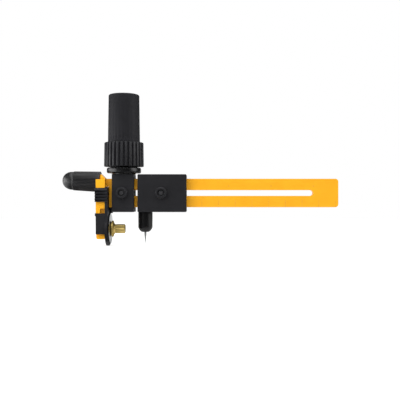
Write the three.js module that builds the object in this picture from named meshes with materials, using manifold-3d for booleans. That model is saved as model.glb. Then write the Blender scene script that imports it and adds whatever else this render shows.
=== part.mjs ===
import * as THREE from 'three';
import { mergeVertices } from 'three/addons/utils/BufferGeometryUtils.js';
import Module from 'manifold-3d';

// Circle cutter. A needle block slides along a slotted arm and is clamped there. The end of
// the arm carries a round blade in a sliding guard, and a ratchet handle stands beside it.
// Lengths are in millimetres. +X runs along the arm, +Z is up and the front faces -Y.
// The origin is the tip of the needle, level with the lowest point of the blade.

// Driving dimensions
const bladeDiameter = 18;
const largestRadius = 110;
const armThickness = 3.6;
const armHeight = 17.05;
const slotHeight = 3.45;
const armEndWeb = 15.05;
const needleReach = 7.05;
const holderLength = 12.05;
const blockDepth = 13;
const handleBlockWidth = 13;
const needleBlockWidth = 29;
const needleInset = 4.2;
const bossShift = 0.55;
const blockGap = 2.2;
const bladeToHandle = 7.9;
const blockFloor = 2.73;
const blockCeiling = 2.45;
const gripHeight = 29;
const collarHeight = 14.5;

// Clearances
const armFit = 0.1;
const seatGap = 0.05;
const runGap = 0.15;
const screwFit = 0.12;
const guardGap = 0.3;
const cutOverrun = 1;

// Sides of the round pieces, from the largest to the smallest
const wideSides = 48;
const midSides = 36;
const smallSides = 20;
const arcSteps = 6;

// Levels and places that several pieces share
const blockBottomZ = needleReach + holderLength;
const channelHalfHeight = armHeight / 2 + armFit;
const channelHalfDepth = armThickness / 2 + armFit;
const armCentreZ = blockBottomZ + blockFloor + channelHalfHeight;
const blockTopZ = armCentreZ + channelHalfHeight + blockCeiling;
const needleOffset = needleBlockWidth / 2 - needleInset - bossShift;
const cutRadius = needleInset + blockGap + handleBlockWidth / 2 + bladeToHandle;
const bladeCentreZ = bladeDiameter / 2;
const armTopZ = armCentreZ + armHeight / 2;
const armBottomZ = armCentreZ - armHeight / 2;

const amberPlastic = new THREE.MeshStandardMaterial({ color: 0xfcb116, roughness: 0.42, metalness: 0 });
const blackPlastic = new THREE.MeshStandardMaterial({ color: 0x2b2b2f, roughness: 0.5, metalness: 0 });
const glossPlastic = new THREE.MeshStandardMaterial({ color: 0x1c1c1f, roughness: 0.18, metalness: 0 });
const steel = new THREE.MeshStandardMaterial({ color: 0xa9acb0, roughness: 0.32, metalness: 1 });
const bladeSteel = new THREE.MeshStandardMaterial({ color: 0xc9ccd0, roughness: 0.22, metalness: 1 });
const brass = new THREE.MeshStandardMaterial({ color: 0xc8a650, roughness: 0.28, metalness: 1 });

const wasm = await Module();
wasm.setup();

// Welds a closed geometry into a solid that can be joined and cut
function solidOf(geometry) {
  const bare = new THREE.BufferGeometry();
  bare.setAttribute('position', geometry.getAttribute('position'));
  bare.setIndex(geometry.index);
  const welded = mergeVertices(bare);
  const corners = welded.index.array;
  const kept = [];
  for (let i = 0; i < corners.length; i += 3) {
    const triangle = [corners[i], corners[i + 1], corners[i + 2]];
    if (new Set(triangle).size === triangle.length) kept.push(...triangle);
  }
  const mesh = new wasm.Mesh({
    numProp: 3,
    vertProperties: welded.getAttribute('position').array,
    triVerts: new Uint32Array(kept),
  });
  return new wasm.Manifold(mesh);
}

function meshOf(name, solid, material) {
  const result = solid.getMesh();
  const geometry = new THREE.BufferGeometry();
  geometry.setAttribute('position', new THREE.BufferAttribute(result.vertProperties, 3));
  geometry.setIndex(new THREE.BufferAttribute(result.triVerts, 1));
  geometry.computeVertexNormals();
  const mesh = new THREE.Mesh(geometry, material);
  mesh.name = name;
  return mesh;
}

function join(first, ...others) {
  return others.reduce((sum, other) => sum.add(other), first);
}

function cut(first, ...others) {
  return others.reduce((rest, other) => rest.subtract(other), first);
}

// A box given by its lowest and highest corners
function box(x0, x1, y0, y1, z0, z1) {
  const geometry = new THREE.BoxGeometry(x1 - x0, y1 - y0, z1 - z0);
  geometry.translate((x0 + x1) / 2, (y0 + y1) / 2, (z0 + z1) / 2);
  return solidOf(geometry);
}

// An outline drawn in X and Z, given depth from y0 to y1
function extrudedAlongY(shape, y0, y1) {
  const geometry = new THREE.ExtrudeGeometry(shape, {
    depth: y1 - y0,
    bevelEnabled: false,
    curveSegments: arcSteps,
  });
  geometry.rotateX(Math.PI / 2);
  geometry.translate(0, y1, 0);
  return solidOf(geometry);
}

// An outline drawn in X and Y, given height from z0 to z1
function extrudedAlongZ(shape, z0, z1) {
  const geometry = new THREE.ExtrudeGeometry(shape, {
    depth: z1 - z0,
    bevelEnabled: false,
    curveSegments: arcSteps,
  });
  geometry.translate(0, 0, z0);
  return solidOf(geometry);
}

// An outline drawn in Y and Z, given length from x0 to x1
function extrudedAlongX(shape, x0, x1) {
  const geometry = new THREE.ExtrudeGeometry(shape, { depth: x1 - x0, bevelEnabled: false });
  geometry.rotateX(Math.PI / 2);
  geometry.rotateZ(Math.PI / 2);
  geometry.translate(x0, 0, 0);
  return solidOf(geometry);
}

// A round bar about the Z axis from z0 to z1
function bar(radius, z0, z1, sides) {
  const geometry = new THREE.CylinderGeometry(radius, radius, z1 - z0, sides);
  geometry.rotateX(Math.PI / 2);
  geometry.translate(0, 0, (z0 + z1) / 2);
  return solidOf(geometry);
}

// A turned piece about the Z axis, from [radius, height] pairs that rise on its outside
function turned(profile, sides) {
  const points = profile.map(([radius, height]) => new THREE.Vector2(radius, height));
  const geometry = new THREE.LatheGeometry(points, sides);
  geometry.rotateX(Math.PI / 2);
  return solidOf(geometry);
}

// Turns a piece made about the Z axis so that it lies along +X or +Y
function layAlongX(solid) {
  return solid.rotate([0, 90, 0]);
}

function layAlongY(solid) {
  return solid.rotate([-90, 0, 0]);
}

function roundedRectangle(x0, x1, y0, y1, radius) {
  const shape = new THREE.Shape();
  shape.moveTo(x0 + radius, y0);
  shape.lineTo(x1 - radius, y0);
  shape.absarc(x1 - radius, y0 + radius, radius, -Math.PI / 2, 0, false);
  shape.lineTo(x1, y1 - radius);
  shape.absarc(x1 - radius, y1 - radius, radius, 0, Math.PI / 2, false);
  shape.lineTo(x0 + radius, y1);
  shape.absarc(x0 + radius, y1 - radius, radius, Math.PI / 2, Math.PI, false);
  shape.lineTo(x0, y0 + radius);
  shape.absarc(x0 + radius, y0 + radius, radius, Math.PI, Math.PI * 1.5, false);
  return shape;
}

// A slot with round ends, lying along the outline's first axis between its end centres
function slotShape(first, last, level, radius) {
  const shape = new THREE.Shape();
  shape.moveTo(first, level - radius);
  shape.lineTo(last, level - radius);
  shape.absarc(last, level, radius, -Math.PI / 2, Math.PI / 2, false);
  shape.lineTo(first, level + radius);
  shape.absarc(first, level, radius, Math.PI / 2, Math.PI * 1.5, false);
  return shape;
}

function hexagon(acrossFlats) {
  const radius = acrossFlats / 2 / Math.cos(Math.PI / 6);
  const shape = new THREE.Shape();
  for (let corner = 0; corner < 6; corner += 1) {
    const angle = (corner * Math.PI) / 3;
    const x = radius * Math.cos(angle);
    const y = radius * Math.sin(angle);
    if (corner === 0) shape.moveTo(x, y);
    else shape.lineTo(x, y);
  }
  shape.closePath();
  return shape;
}

// A round outline with ribs, each given by [turn, lift] shares of its pitch and its depth
function ribbedOutline(radius, depth, ribs, ribShares) {
  const shape = new THREE.Shape();
  for (let rib = 0; rib < ribs; rib += 1) {
    ribShares.forEach(([turn, lift], index) => {
      const angle = ((rib + turn) * Math.PI * 2) / ribs;
      const reach = radius - depth + depth * lift;
      const x = reach * Math.cos(angle);
      const y = reach * Math.sin(angle);
      if (rib === 0 && index === 0) shape.moveTo(x, y);
      else shape.lineTo(x, y);
    });
  }
  shape.closePath();
  return shape;
}

// A ribbed outline from z0 to z1 that narrows evenly to topShare of its width
function taperedRibs(shape, z0, z1, topShare) {
  const geometry = new THREE.ExtrudeGeometry(shape, { depth: z1 - z0, bevelEnabled: false });
  const position = geometry.getAttribute('position');
  for (let i = 0; i < position.count; i += 1) {
    const rise = position.getZ(i) / (z1 - z0);
    const scale = 1 + rise * (topShare - 1);
    position.setXY(i, position.getX(i) * scale, position.getY(i) * scale);
  }
  geometry.translate(0, 0, z0);
  return solidOf(geometry);
}

function at(object, x, y, z) {
  object.position.set(x, y, z);
  return object;
}

function groupOf(...children) {
  const group = new THREE.Group();
  group.add(...children);
  return group;
}

// Screws and nuts. The two clamping screws lie along Y, their nuts on the front side
const clampScrewRadius = 1.5;
const clampNutFlats = 5.5;
const clampNutHeight = 2.4;
const clampTipRecess = 0.7;
const clampWasherRadius = 3.6;
const clampWasherHeight = 0.5;
const bossRadius = 3.4;
const bossHole = 2.1;
const bossRecess = 1;
const bossEdge = 0.6;
const bossHeight = 2.8;
const needleBlockCorner = 0.6;
const handleBlockCorner = 0.3;
const nutPocketDepth = clampNutHeight + seatGap * 2;
const screwHole = clampScrewRadius + screwFit;
const blockFrontY = -blockDepth / 2;
const blockRearY = blockDepth / 2;
const bossFrontY = blockFrontY - bossHeight;
const screwTipY = bossFrontY + clampTipRecess;

// T-heads lie in the channel's floor or ceiling, where the edge of the arm keeps them
const headLength = 6.4;
const headWidth = 3.2;
const headHeight = 1.3;
const headFit = 0.1;
const headPocketDepth = headHeight + headFit;

function hexNut(flats, height, bore) {
  const body = extrudedAlongZ(hexagon(flats), 0, height);
  return cut(body, bar(bore, -cutOverrun, height + cutOverrun, smallSides));
}

function washer(outer, bore, height) {
  const body = bar(outer, 0, height, smallSides);
  return cut(body, bar(bore, -cutOverrun, height + cutOverrun, smallSides));
}

// A T-headed stud: head from 0 upwards, shank hanging below it
function teeStud(shankRadius, shankLength) {
  const head = box(-headLength / 2, headLength / 2, -headWidth / 2, headWidth / 2, 0, headHeight);
  return join(head, bar(shankRadius, -shankLength, seatGap, smallSides));
}

// A round boss with a rounded rim, standing on the front of a block
function boss() {
  const steps = arcSteps / 2;
  const profile = [[0, bossFrontY]];
  for (let step = 0; step <= steps; step += 1) {
    const angle = (Math.PI / 2) * (step / steps);
    const inset = bossEdge * (1 - Math.sin(angle));
    profile.push([bossRadius - inset, bossFrontY + bossEdge * (1 - Math.cos(angle))]);
  }
  profile.push([bossRadius, blockFrontY + seatGap]);
  profile.push([0, blockFrontY + seatGap]);
  return layAlongY(turned(profile, midSides));
}

// A block that the arm passes through. Its own origin is on the clamping screw, in the middle
// of the arm, and the middle of the block is a little to the right of it
function sliderBlock(width, corner) {
  const bottom = -channelHalfHeight - blockFloor;
  const top = channelHalfHeight + blockCeiling;
  const left = bossShift - width / 2;
  const right = bossShift + width / 2;
  const outline = roundedRectangle(left, right, bottom, top, corner);
  const channel = box(
    left - cutOverrun,
    right + cutOverrun,
    -channelHalfDepth,
    channelHalfDepth,
    -channelHalfHeight,
    channelHalfHeight,
  );
  const pocketFrontY = -channelHalfDepth - nutPocketDepth;
  const pocket = layAlongY(extrudedAlongZ(hexagon(clampNutFlats + screwFit * 2), 0, nutPocketDepth));
  return cut(
    join(extrudedAlongY(outline, blockFrontY, blockRearY), boss()),
    channel,
    pocket.translate([0, pocketFrontY, 0]),
    layAlongY(bar(bossHole, bossFrontY - cutOverrun, bossFrontY + bossRecess, midSides)),
    layAlongY(bar(screwHole, bossFrontY, pocketFrontY + seatGap, smallSides)),
    layAlongY(bar(screwHole, 0, blockRearY + cutOverrun, smallSides)),
  );
}

function clampNutMesh(name) {
  const nut = layAlongY(hexNut(clampNutFlats, clampNutHeight, screwHole));
  return at(meshOf(name, nut, steel), 0, -channelHalfDepth - clampNutHeight - seatGap, 0);
}

// Needle block with the needle under its left end
const holderRadius = 4.3;
const holderTipRadius = 2.1;
const holderNose = 2.8;
const studRadius = 1.5;
const studDepth = 6;
const needleRadius = 0.65;
const needlePoint = 5.4;
const needleSeat = 3.6;
const noseShares = [
  [0, 0],
  [0.5, 0.3],
  [0.88, 0.72],
  [1, 1],
];

function needleBlock() {
  const floorZ = -channelHalfHeight;
  const pocket = box(
    -needleOffset - headLength / 2 - headFit,
    -needleOffset + headLength / 2 + headFit,
    -headWidth / 2 - headFit,
    headWidth / 2 + headFit,
    floorZ - headPocketDepth,
    floorZ + seatGap,
  );
  const shankHole = bar(studRadius + screwFit, floorZ - blockFloor - cutOverrun, floorZ, smallSides);
  const block = sliderBlock(needleBlockWidth, needleBlockCorner);
  const solid = cut(block, pocket, shankHole.translate([-needleOffset, 0, 0]));
  return meshOf('needle_block', solid, blackPlastic);
}

function holderStud() {
  const shankLength = blockFloor - headPocketDepth + studDepth;
  const stud = meshOf('holder_stud', teeStud(studRadius, shankLength), steel);
  return at(stud, 0, 0, blockBottomZ + blockFloor - headPocketDepth + seatGap);
}

function needleHolder() {
  const height = holderLength - seatGap;
  const nose = noseShares.map(([outward, upward]) => [
    holderTipRadius + outward * (holderRadius - holderTipRadius),
    upward * holderNose,
  ]);
  const body = turned([[0, 0], ...nose, [holderRadius, height], [0, height]], midSides);
  const studFloor = height - studDepth - cutOverrun;
  const studHole = bar(studRadius + screwFit, studFloor, height + cutOverrun, smallSides);
  const needleHole = bar(needleRadius + seatGap, -cutOverrun, needleSeat + seatGap, smallSides);
  return at(meshOf('needle_holder', cut(body, studHole, needleHole), blackPlastic), 0, 0, needleReach);
}

function needle() {
  const profile = [
    [0, 0],
    [needleRadius, Math.min(needlePoint, needleReach)],
    [needleRadius, needleReach + needleSeat],
    [0, needleReach + needleSeat],
  ];
  return meshOf('needle', turned(profile, smallSides), steel);
}

// Clamp knob behind the needle block
const knobRadius = 7.5;
const knobRibDepth = 0.9;
const knobRibs = 18;
const knobHeight = 7.5;
const knobHubRadius = 4.6;
const knobHubHeight = 1.2;
const screwHeadHeight = 2;
const knobWeb = 2.6;
const knobRibShares = [
  [0, 0],
  [0.22, 0.8],
  [0.4, 1],
  [0.6, 1],
  [0.78, 0.8],
];
const washerY = blockRearY + seatGap;
const knobY = washerY + clampWasherHeight + seatGap;

function clampKnob() {
  const ribs = ribbedOutline(knobRadius, knobRibDepth, knobRibs, knobRibShares);
  const body = join(
    extrudedAlongZ(ribs, knobHubHeight, knobHubHeight + knobHeight),
    bar(knobHubRadius, 0, knobHubHeight + seatGap, midSides),
  );
  const pocket = extrudedAlongZ(
    hexagon(clampNutFlats + screwFit * 2),
    knobWeb,
    knobHubHeight + knobHeight + cutOverrun,
  );
  const solid = cut(body, pocket, bar(screwHole, -cutOverrun, knobWeb + seatGap, smallSides));
  return at(meshOf('clamp_knob', layAlongY(solid), blackPlastic), 0, knobY, 0);
}

function clampScrew() {
  const headY = knobY + knobWeb + seatGap;
  const solid = join(
    extrudedAlongZ(hexagon(clampNutFlats), headY, headY + screwHeadHeight),
    bar(clampScrewRadius, screwTipY, headY + seatGap, smallSides),
  );
  return meshOf('clamp_screw', layAlongY(solid), steel);
}

function clampWasher() {
  const solid = layAlongY(washer(clampWasherRadius, screwHole, clampWasherHeight));
  return at(meshOf('clamp_washer', solid, steel), 0, washerY, 0);
}

// Handle block, fixed near the blade end of the arm
const panHeadRadius = 3;
const panHeadHeight = 1.9;
const driveSlotWidth = 0.8;
const driveSlotDepth = 0.8;
const panHeadShares = [
  [1, 0],
  [1, 0.5],
  [0.85, 0.85],
  [0.5, 1],
];
const spindleRadius = 2;

function handleBlock() {
  const ceilingZ = channelHalfHeight;
  const pocket = box(
    -headLength / 2 - headFit,
    headLength / 2 + headFit,
    -headWidth / 2 - headFit,
    headWidth / 2 + headFit,
    ceilingZ - seatGap,
    ceilingZ + headPocketDepth,
  );
  const hole = bar(spindleRadius + screwFit, ceilingZ, ceilingZ + blockCeiling + cutOverrun, smallSides);
  const spindleSeat = join(pocket, hole).translate([bossShift, 0, 0]);
  const block = sliderBlock(handleBlockWidth, handleBlockCorner);
  return meshOf('handle_block', cut(block, spindleSeat), blackPlastic);
}

function handleBlockScrew() {
  const headY = blockRearY + seatGap;
  const rim = panHeadShares.map(([outward, upward]) => [
    outward * panHeadRadius,
    headY + upward * panHeadHeight,
  ]);
  const head = turned([[0, headY], ...rim, [0, headY + panHeadHeight]], smallSides);
  const slotFloor = headY + panHeadHeight - driveSlotDepth;
  const slotTop = headY + panHeadHeight + cutOverrun;
  const arms = [
    box(-panHeadRadius / 2, panHeadRadius / 2, -driveSlotWidth / 2, driveSlotWidth / 2, slotFloor, slotTop),
    box(-driveSlotWidth / 2, driveSlotWidth / 2, -panHeadRadius / 2, panHeadRadius / 2, slotFloor, slotTop),
  ];
  const shank = bar(clampScrewRadius, screwTipY, headY + seatGap, smallSides);
  return meshOf('handle_block_screw', layAlongY(cut(join(head, shank), ...arms)), steel);
}

// Handle: a fixed bearing flange and ratchet wheel on the spindle bolt, and around them the
// ribbed collar that carries the grip and the pawls
const flangeFootRadius = 7.2;
const flangeFootHeight = 0.75;
const flangeRadius = 10.25;
const flangeHeight = 3.25;
const flangeEdge = 0.9;
const neckRadius = 8;
const neckHeight = 0.55;
const postRadius = 4.8;
const collarRadius = 11.9;
const collarTopRadius = 11.7;
const collarRibDepth = 0.9;
const collarRibs = 28;
const collarRibCentre = 0.55;
const collarFloor = 1.7;
const cavityRadius = 9.2;
const wheelTeeth = 24;
const wheelRadius = 6.2;
const toothDepth = 0.85;
const wheelHeight = 3.4;
const spindleWasherRadius = 4.5;
const spindleWasherHeight = 0.5;
const spindleNutFlats = 7;
const spindleNutHeight = 2.7;
const spindleTip = 0.6;
const pawlHeight = 3.2;
const pawlPivotRadius = 7.8;
const pawlEyeRadius = 1.15;
const pawlPostRadius = 0.7;
const pawlGap = 0.2;
const pawlDepth = 0.9;
const pawlLift = THREE.MathUtils.degToRad(12);
const springThickness = 0.3;
const springHeight = 2.9;
const springSteps = 8;
const springRootShare = 1.4;
const springStraightShare = 0.3;
const gripBottomRadius = 9.6;
const gripTopRadius = 9.2;
const gripCorner = 1.2;
const gripCrown = 0.35;
const crownSteps = 3;
const gripWall = 2.2;
const collarRibShares = [
  [0, 0],
  [0.26, 0],
  [0.3, 0.72],
  [0.38, 1],
  [0.72, 1],
  [0.8, 0.72],
  [0.84, 0],
];

const flangeZ = blockTopZ + seatGap;
const neckTopZ = flangeZ + flangeFootHeight + flangeHeight + neckHeight;
const collarZ = neckTopZ + runGap;
const collarFloorZ = collarZ + collarFloor;
const collarTopZ = collarZ + collarHeight;
const postTopZ = collarFloorZ + runGap;
const wheelZ = postTopZ + seatGap;
const spindleWasherZ = wheelZ + wheelHeight + seatGap;
const spindleNutZ = spindleWasherZ + spindleWasherHeight + seatGap;
const spindleTopZ = spindleNutZ + spindleNutHeight + spindleTip;
const pawlZ = collarFloorZ + runGap;
const pawlTopZ = pawlZ + pawlHeight;
const wheelRootRadius = wheelRadius - toothDepth;
const wheelPitch = (Math.PI * 2) / wheelTeeth;
const pivotAngle = wheelPitch * 2;

function polar(radius, angle) {
  return new THREE.Vector2(radius * Math.cos(angle), radius * Math.sin(angle));
}

function bearingFlange() {
  const footTop = flangeFootHeight;
  const flangeTop = footTop + flangeHeight;
  const neckTop = flangeTop + neckHeight;
  const rim = flangeRadius - flangeEdge;
  const profile = [
    [0, 0],
    [flangeFootRadius, 0],
    [flangeFootRadius, footTop],
  ];
  for (let step = 0; step <= arcSteps; step += 1) {
    const angle = (Math.PI / 2) * (step / arcSteps);
    const drop = flangeEdge - flangeEdge * Math.cos(angle);
    profile.push([rim + flangeEdge * Math.sin(angle), footTop + drop]);
  }
  for (let step = 0; step <= arcSteps; step += 1) {
    const angle = (Math.PI / 2) * (step / arcSteps);
    const drop = flangeEdge - flangeEdge * Math.sin(angle);
    profile.push([rim + flangeEdge * Math.cos(angle), flangeTop - drop]);
  }
  profile.push([neckRadius, flangeTop]);
  profile.push([neckRadius, neckTop]);
  profile.push([postRadius, neckTop]);
  profile.push([postRadius, postTopZ - flangeZ]);
  profile.push([0, postTopZ - flangeZ]);
  const bore = bar(spindleRadius + screwFit, -cutOverrun, postTopZ - flangeZ + cutOverrun, smallSides);
  return at(meshOf('bearing_flange', cut(turned(profile, wideSides), bore), glossPlastic), 0, 0, flangeZ);
}

function spindleBolt() {
  const headZ = armCentreZ + channelHalfHeight + seatGap;
  const shank = bar(spindleRadius, headZ + headHeight - seatGap, spindleTopZ, smallSides);
  const head = box(
    -headLength / 2,
    headLength / 2,
    -headWidth / 2,
    headWidth / 2,
    headZ,
    headZ + headHeight,
  );
  return meshOf('spindle_bolt', join(head, shank), steel);
}

function ratchetWheel() {
  const shape = new THREE.Shape();
  for (let tooth = 0; tooth < wheelTeeth; tooth += 1) {
    const peak = polar(wheelRadius, tooth * wheelPitch);
    const root = polar(wheelRootRadius, tooth * wheelPitch);
    if (tooth === 0) shape.moveTo(peak.x, peak.y);
    else shape.lineTo(peak.x, peak.y);
    shape.lineTo(root.x, root.y);
  }
  shape.closePath();
  const bore = bar(spindleRadius + screwFit, -cutOverrun, wheelHeight + cutOverrun, smallSides);
  const solid = cut(extrudedAlongZ(shape, 0, wheelHeight), bore);
  return at(meshOf('ratchet_wheel', solid, steel), 0, 0, wheelZ);
}

function spindleNut() {
  const nut = hexNut(spindleNutFlats, spindleNutHeight, spindleRadius + screwFit);
  return at(meshOf('spindle_nut', nut, steel), 0, 0, spindleNutZ);
}

function spindleWasher() {
  const solid = washer(spindleWasherRadius, spindleRadius + screwFit, spindleWasherHeight);
  return at(meshOf('spindle_washer', solid, steel), 0, 0, spindleWasherZ);
}

// Two pawls stand on posts of the collar's floor, half a turn apart
const pawlTurns = { pawl_a: 0, pawl_b: Math.PI };

function collar() {
  const outline = ribbedOutline(collarRadius, collarRibDepth, collarRibs, collarRibShares);
  const ribs = taperedRibs(outline, 0, collarHeight, collarTopRadius / collarRadius);
  const shell = cut(
    ribs.rotate([0, 0, -THREE.MathUtils.radToDeg((collarRibCentre * Math.PI * 2) / collarRibs)]),
    bar(cavityRadius, collarFloor, collarHeight + cutOverrun, wideSides),
    bar(postRadius + runGap, -cutOverrun, collarFloor + cutOverrun, midSides),
  );
  const posts = Object.values(pawlTurns).map((turn) => {
    const place = polar(pawlPivotRadius, pivotAngle + turn);
    const post = bar(pawlPostRadius, collarFloor - seatGap, pawlTopZ - collarZ, smallSides);
    return post.translate([place.x, place.y, 0]);
  });
  return at(meshOf('collar', join(shell, ...posts), blackPlastic), 0, 0, collarZ);
}

// A pawl about its own post, its tip in the tooth gap that starts on the +X side of the wheel
function pawl(name, turn) {
  const pivot = polar(pawlPivotRadius, pivotAngle);
  const faceAngle = pawlGap / wheelRootRadius;
  const corners = [
    polar(wheelRootRadius + pawlGap, faceAngle),
    polar(wheelRadius + pawlGap, wheelPitch),
    polar(pawlPivotRadius - pawlEyeRadius, pivotAngle),
    polar(pawlPivotRadius + pawlEyeRadius, pivotAngle),
    polar(wheelRadius + pawlDepth, faceAngle),
  ];
  const outline = new THREE.Shape(corners.map((corner) => corner.sub(pivot)));
  const solid = cut(
    join(extrudedAlongZ(outline, 0, pawlHeight), bar(pawlEyeRadius, 0, pawlHeight, smallSides)),
    bar(pawlPostRadius + screwFit, -cutOverrun, pawlHeight + cutOverrun, smallSides),
  );
  const mesh = at(meshOf(name, solid, steel), pivot.x, pivot.y, pawlZ);
  const group = groupOf(mesh);
  group.rotation.z = turn;
  return group;
}

// A leaf spring along the collar's wall, bent in to where the lifted pawl reaches
function pawlSpring(name, turn) {
  const pivot = polar(pawlPivotRadius, pivotAngle);
  const tip = polar(wheelRadius + pawlDepth, pawlGap / wheelRootRadius);
  const lifted = tip.clone().rotateAround(pivot, pawlLift).length() + pawlGap;
  const wall = cavityRadius - seatGap * 2;
  const rootAngle = -pivotAngle * springRootShare;
  const tipAngle = pawlGap / wheelRootRadius;
  const outer = [];
  const inner = [];
  for (let step = 0; step <= springSteps; step += 1) {
    const share = step / springSteps;
    const angle = rootAngle + share * (tipAngle - rootAngle);
    const bend = Math.max(0, share - springStraightShare) / (1 - springStraightShare);
    const reach = wall - bend * (wall - lifted - springThickness);
    outer.push(polar(reach, angle));
    inner.unshift(polar(reach - springThickness, angle));
  }
  const mesh = meshOf(name, extrudedAlongZ(new THREE.Shape([...outer, ...inner]), 0, springHeight), steel);
  at(mesh, 0, 0, pawlZ);
  mesh.rotation.z = turn;
  return mesh;
}

function grip() {
  const spigotRadius = cavityRadius - screwFit;
  const spigotBottom = pawlTopZ + guardGap;
  const bottom = collarTopZ + seatGap;
  const top = bottom + gripHeight;
  const boreTop = top - gripWall;
  const profile = [
    [0, spigotBottom],
    [spigotRadius, spigotBottom],
    [spigotRadius, bottom],
    [gripBottomRadius, bottom],
  ];
  for (let step = 0; step <= arcSteps; step += 1) {
    const angle = (Math.PI / 2) * (step / arcSteps);
    const reach = gripTopRadius - gripCorner + gripCorner * Math.cos(angle);
    profile.push([reach, top - gripCrown - gripCorner + gripCorner * Math.sin(angle)]);
  }
  const crownRadius = gripTopRadius - gripCorner;
  for (let step = crownSteps - 1; step >= 0; step -= 1) {
    const outward = step / crownSteps;
    profile.push([crownRadius * outward, top - gripCrown * outward ** 2]);
  }
  const bore = bar(gripTopRadius - gripWall, spigotBottom - cutOverrun, boreTop, midSides);
  return meshOf('grip', cut(turned(profile, wideSides), bore), blackPlastic);
}

// Blade end. Places here run along X from the middle of the blade
const bladeThickness = 0.3;
const bladeBore = 3;
const bladeFit = 0.1;
const bladeBevel = 1.1;
const bladeSideGap = 0.15;
const bladeToPlate = 0.6;
const guardPlate = 1.65;
const guardThinPlate = 0.85;
const guardWall = 1.05;
const guardDiscMargin = 1.15;
const guardRim = 0.95;
const hoodReach = 0.35;
const sleeveDrop = 2.95;
const sleeveLength = 12.34;
const sleeveLip = 0.45;
const sleeveLipHeight = 1.6;
const spineDrop = 5.08;
const padDrop = 0.5;
const padLength = 8.3;
const padOverhang = 0.4;
const padInset = 0.1;
const padSlope = 1.2;
const ridgeHeight = 0.7;
const ridgeFlat = 0.3;
const groovePitch = 1.76;
const grooveCount = 4;
const grooveFloor = 0.4;
const firstGrooveDrop = 2.26;
const hubRadius = 3.4;
const columnWidth = 5.3;
const columnRearY = 5;
const columnDrop = 6.03;
const footNarrowing = 0.05;
const footRecess = 1.5;
const footRounding = 1.1;
const tabThickness = 1.45;
const tabDrop = 0.48;
const coreWidth = 2.63;
const gussetRise = 2.62;
const bridgeHeight = 4.7;
const guideWidth = 2.75;
const guideDepth = 2;
const guideRise = 2.75;
const capAxisDrop = 1.83;
const capTilt = THREE.MathUtils.degToRad(2.2);
const capMouthRadius = 6.2;
const capRibEndRadius = 5.7;
const capRibLength = 16.9;
const capDomeLength = 5.95;
const capDomeShare = 0.9;
const capStep = 0.12;
const capRibs = 40;
const capRibDepth = 0.22;
const capBore = 4.35;
const capBoreDepth = 13.5;
const capNeedleBore = 2.6;
const capNeedleDepth = 20;
const capMouthGap = 0.97;
const capTabGap = 0.35;
const spigotRadius = 4.2;
const spigotLength = 8.75;
const capRibShares = [
  [0, 0],
  [0.5, 1],
];

const guardDiscRadius = bladeDiameter / 2 + guardDiscMargin;
const guardTravel = guardDiscRadius - hubRadius - guardGap - guardRim;
const sleeveBottomZ = bladeCentreZ - sleeveDrop;
const sleeveTopZ = sleeveBottomZ + sleeveLength;
const spineTopZ = armTopZ - spineDrop;
const padTopZ = spineTopZ - padDrop;
const padBottomZ = padTopZ - padLength;
const columnBottomZ = bladeCentreZ - columnDrop;
const tabTopZ = armTopZ - tabDrop;
const gussetTopZ = armTopZ + gussetRise;
const guideTopZ = sleeveTopZ + guideRise;
const capAxisZ = armTopZ - capAxisDrop;
const hubFaceX = -bladeThickness / 2 - bladeSideGap;
const plateFaceX = -bladeThickness / 2 - bladeToPlate;
const plateBackX = plateFaceX - guardPlate;
const thinFaceX = plateBackX + guardThinPlate;
const columnRightX = plateBackX - runGap;
const columnLeftX = columnRightX - columnWidth;
const coreLeftX = columnRightX - coreWidth;
const armLeftX = thinFaceX + guardGap;
const tabRearY = -capMouthRadius - capTabGap;
const columnFrontY = tabRearY - tabThickness;
const columnShoulderZ = capAxisZ - capMouthRadius - capTabGap;
const slotRadius = slotHeight / 2;
const slotEndX = largestRadius + needleOffset;
const slotStartX = bladeToHandle - bossShift - (slotRadius - clampScrewRadius) - guardGap;
const armRightX = slotEndX + slotRadius + armEndWeb;

// Graduations on the front of the arm, read at the right edge of the needle block
const armCorner = 1.8;
const markWidth = 0.3;
const markDepth = 0.15;
const markLength = 4.2;
const firstMarkRadius = 30;
const markStep = 10;
const dotRadius = 0.45;
const dotStep = 25.4;
const firstDotX = 70.8;
const dotCount = 3;
const dotDrop = 4.33;

function armRail() {
  const shape = new THREE.Shape();
  shape.moveTo(armLeftX, armBottomZ);
  shape.lineTo(armRightX - armCorner, armBottomZ);
  shape.absarc(armRightX - armCorner, armBottomZ + armCorner, armCorner, -Math.PI / 2, 0, false);
  shape.lineTo(armRightX, armTopZ - armCorner);
  shape.absarc(armRightX - armCorner, armTopZ - armCorner, armCorner, 0, Math.PI / 2, false);
  shape.lineTo(armLeftX, armTopZ);
  shape.closePath();
  shape.holes.push(slotShape(slotStartX, slotEndX, armCentreZ, slotRadius));
  return extrudedAlongY(shape, -armThickness / 2, armThickness / 2);
}

function graduations() {
  const frontY = -armThickness / 2;
  const marks = [];
  const readingEdge = needleBlockWidth - needleInset;
  for (let radius = firstMarkRadius; radius <= largestRadius; radius += markStep) {
    const x = radius + readingEdge;
    const left = x - markWidth / 2;
    const right = x + markWidth / 2;
    const top = armBottomZ + markLength;
    marks.push(box(left, right, frontY - cutOverrun, frontY + markDepth, armBottomZ - cutOverrun, top));
  }
  for (let dot = 0; dot < dotCount; dot += 1) {
    const hole = layAlongY(bar(dotRadius, frontY - cutOverrun, frontY + markDepth, smallSides / 2));
    marks.push(hole.translate([firstDotX + dot * dotStep, 0, armTopZ - dotDrop]));
  }
  return marks;
}

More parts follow.
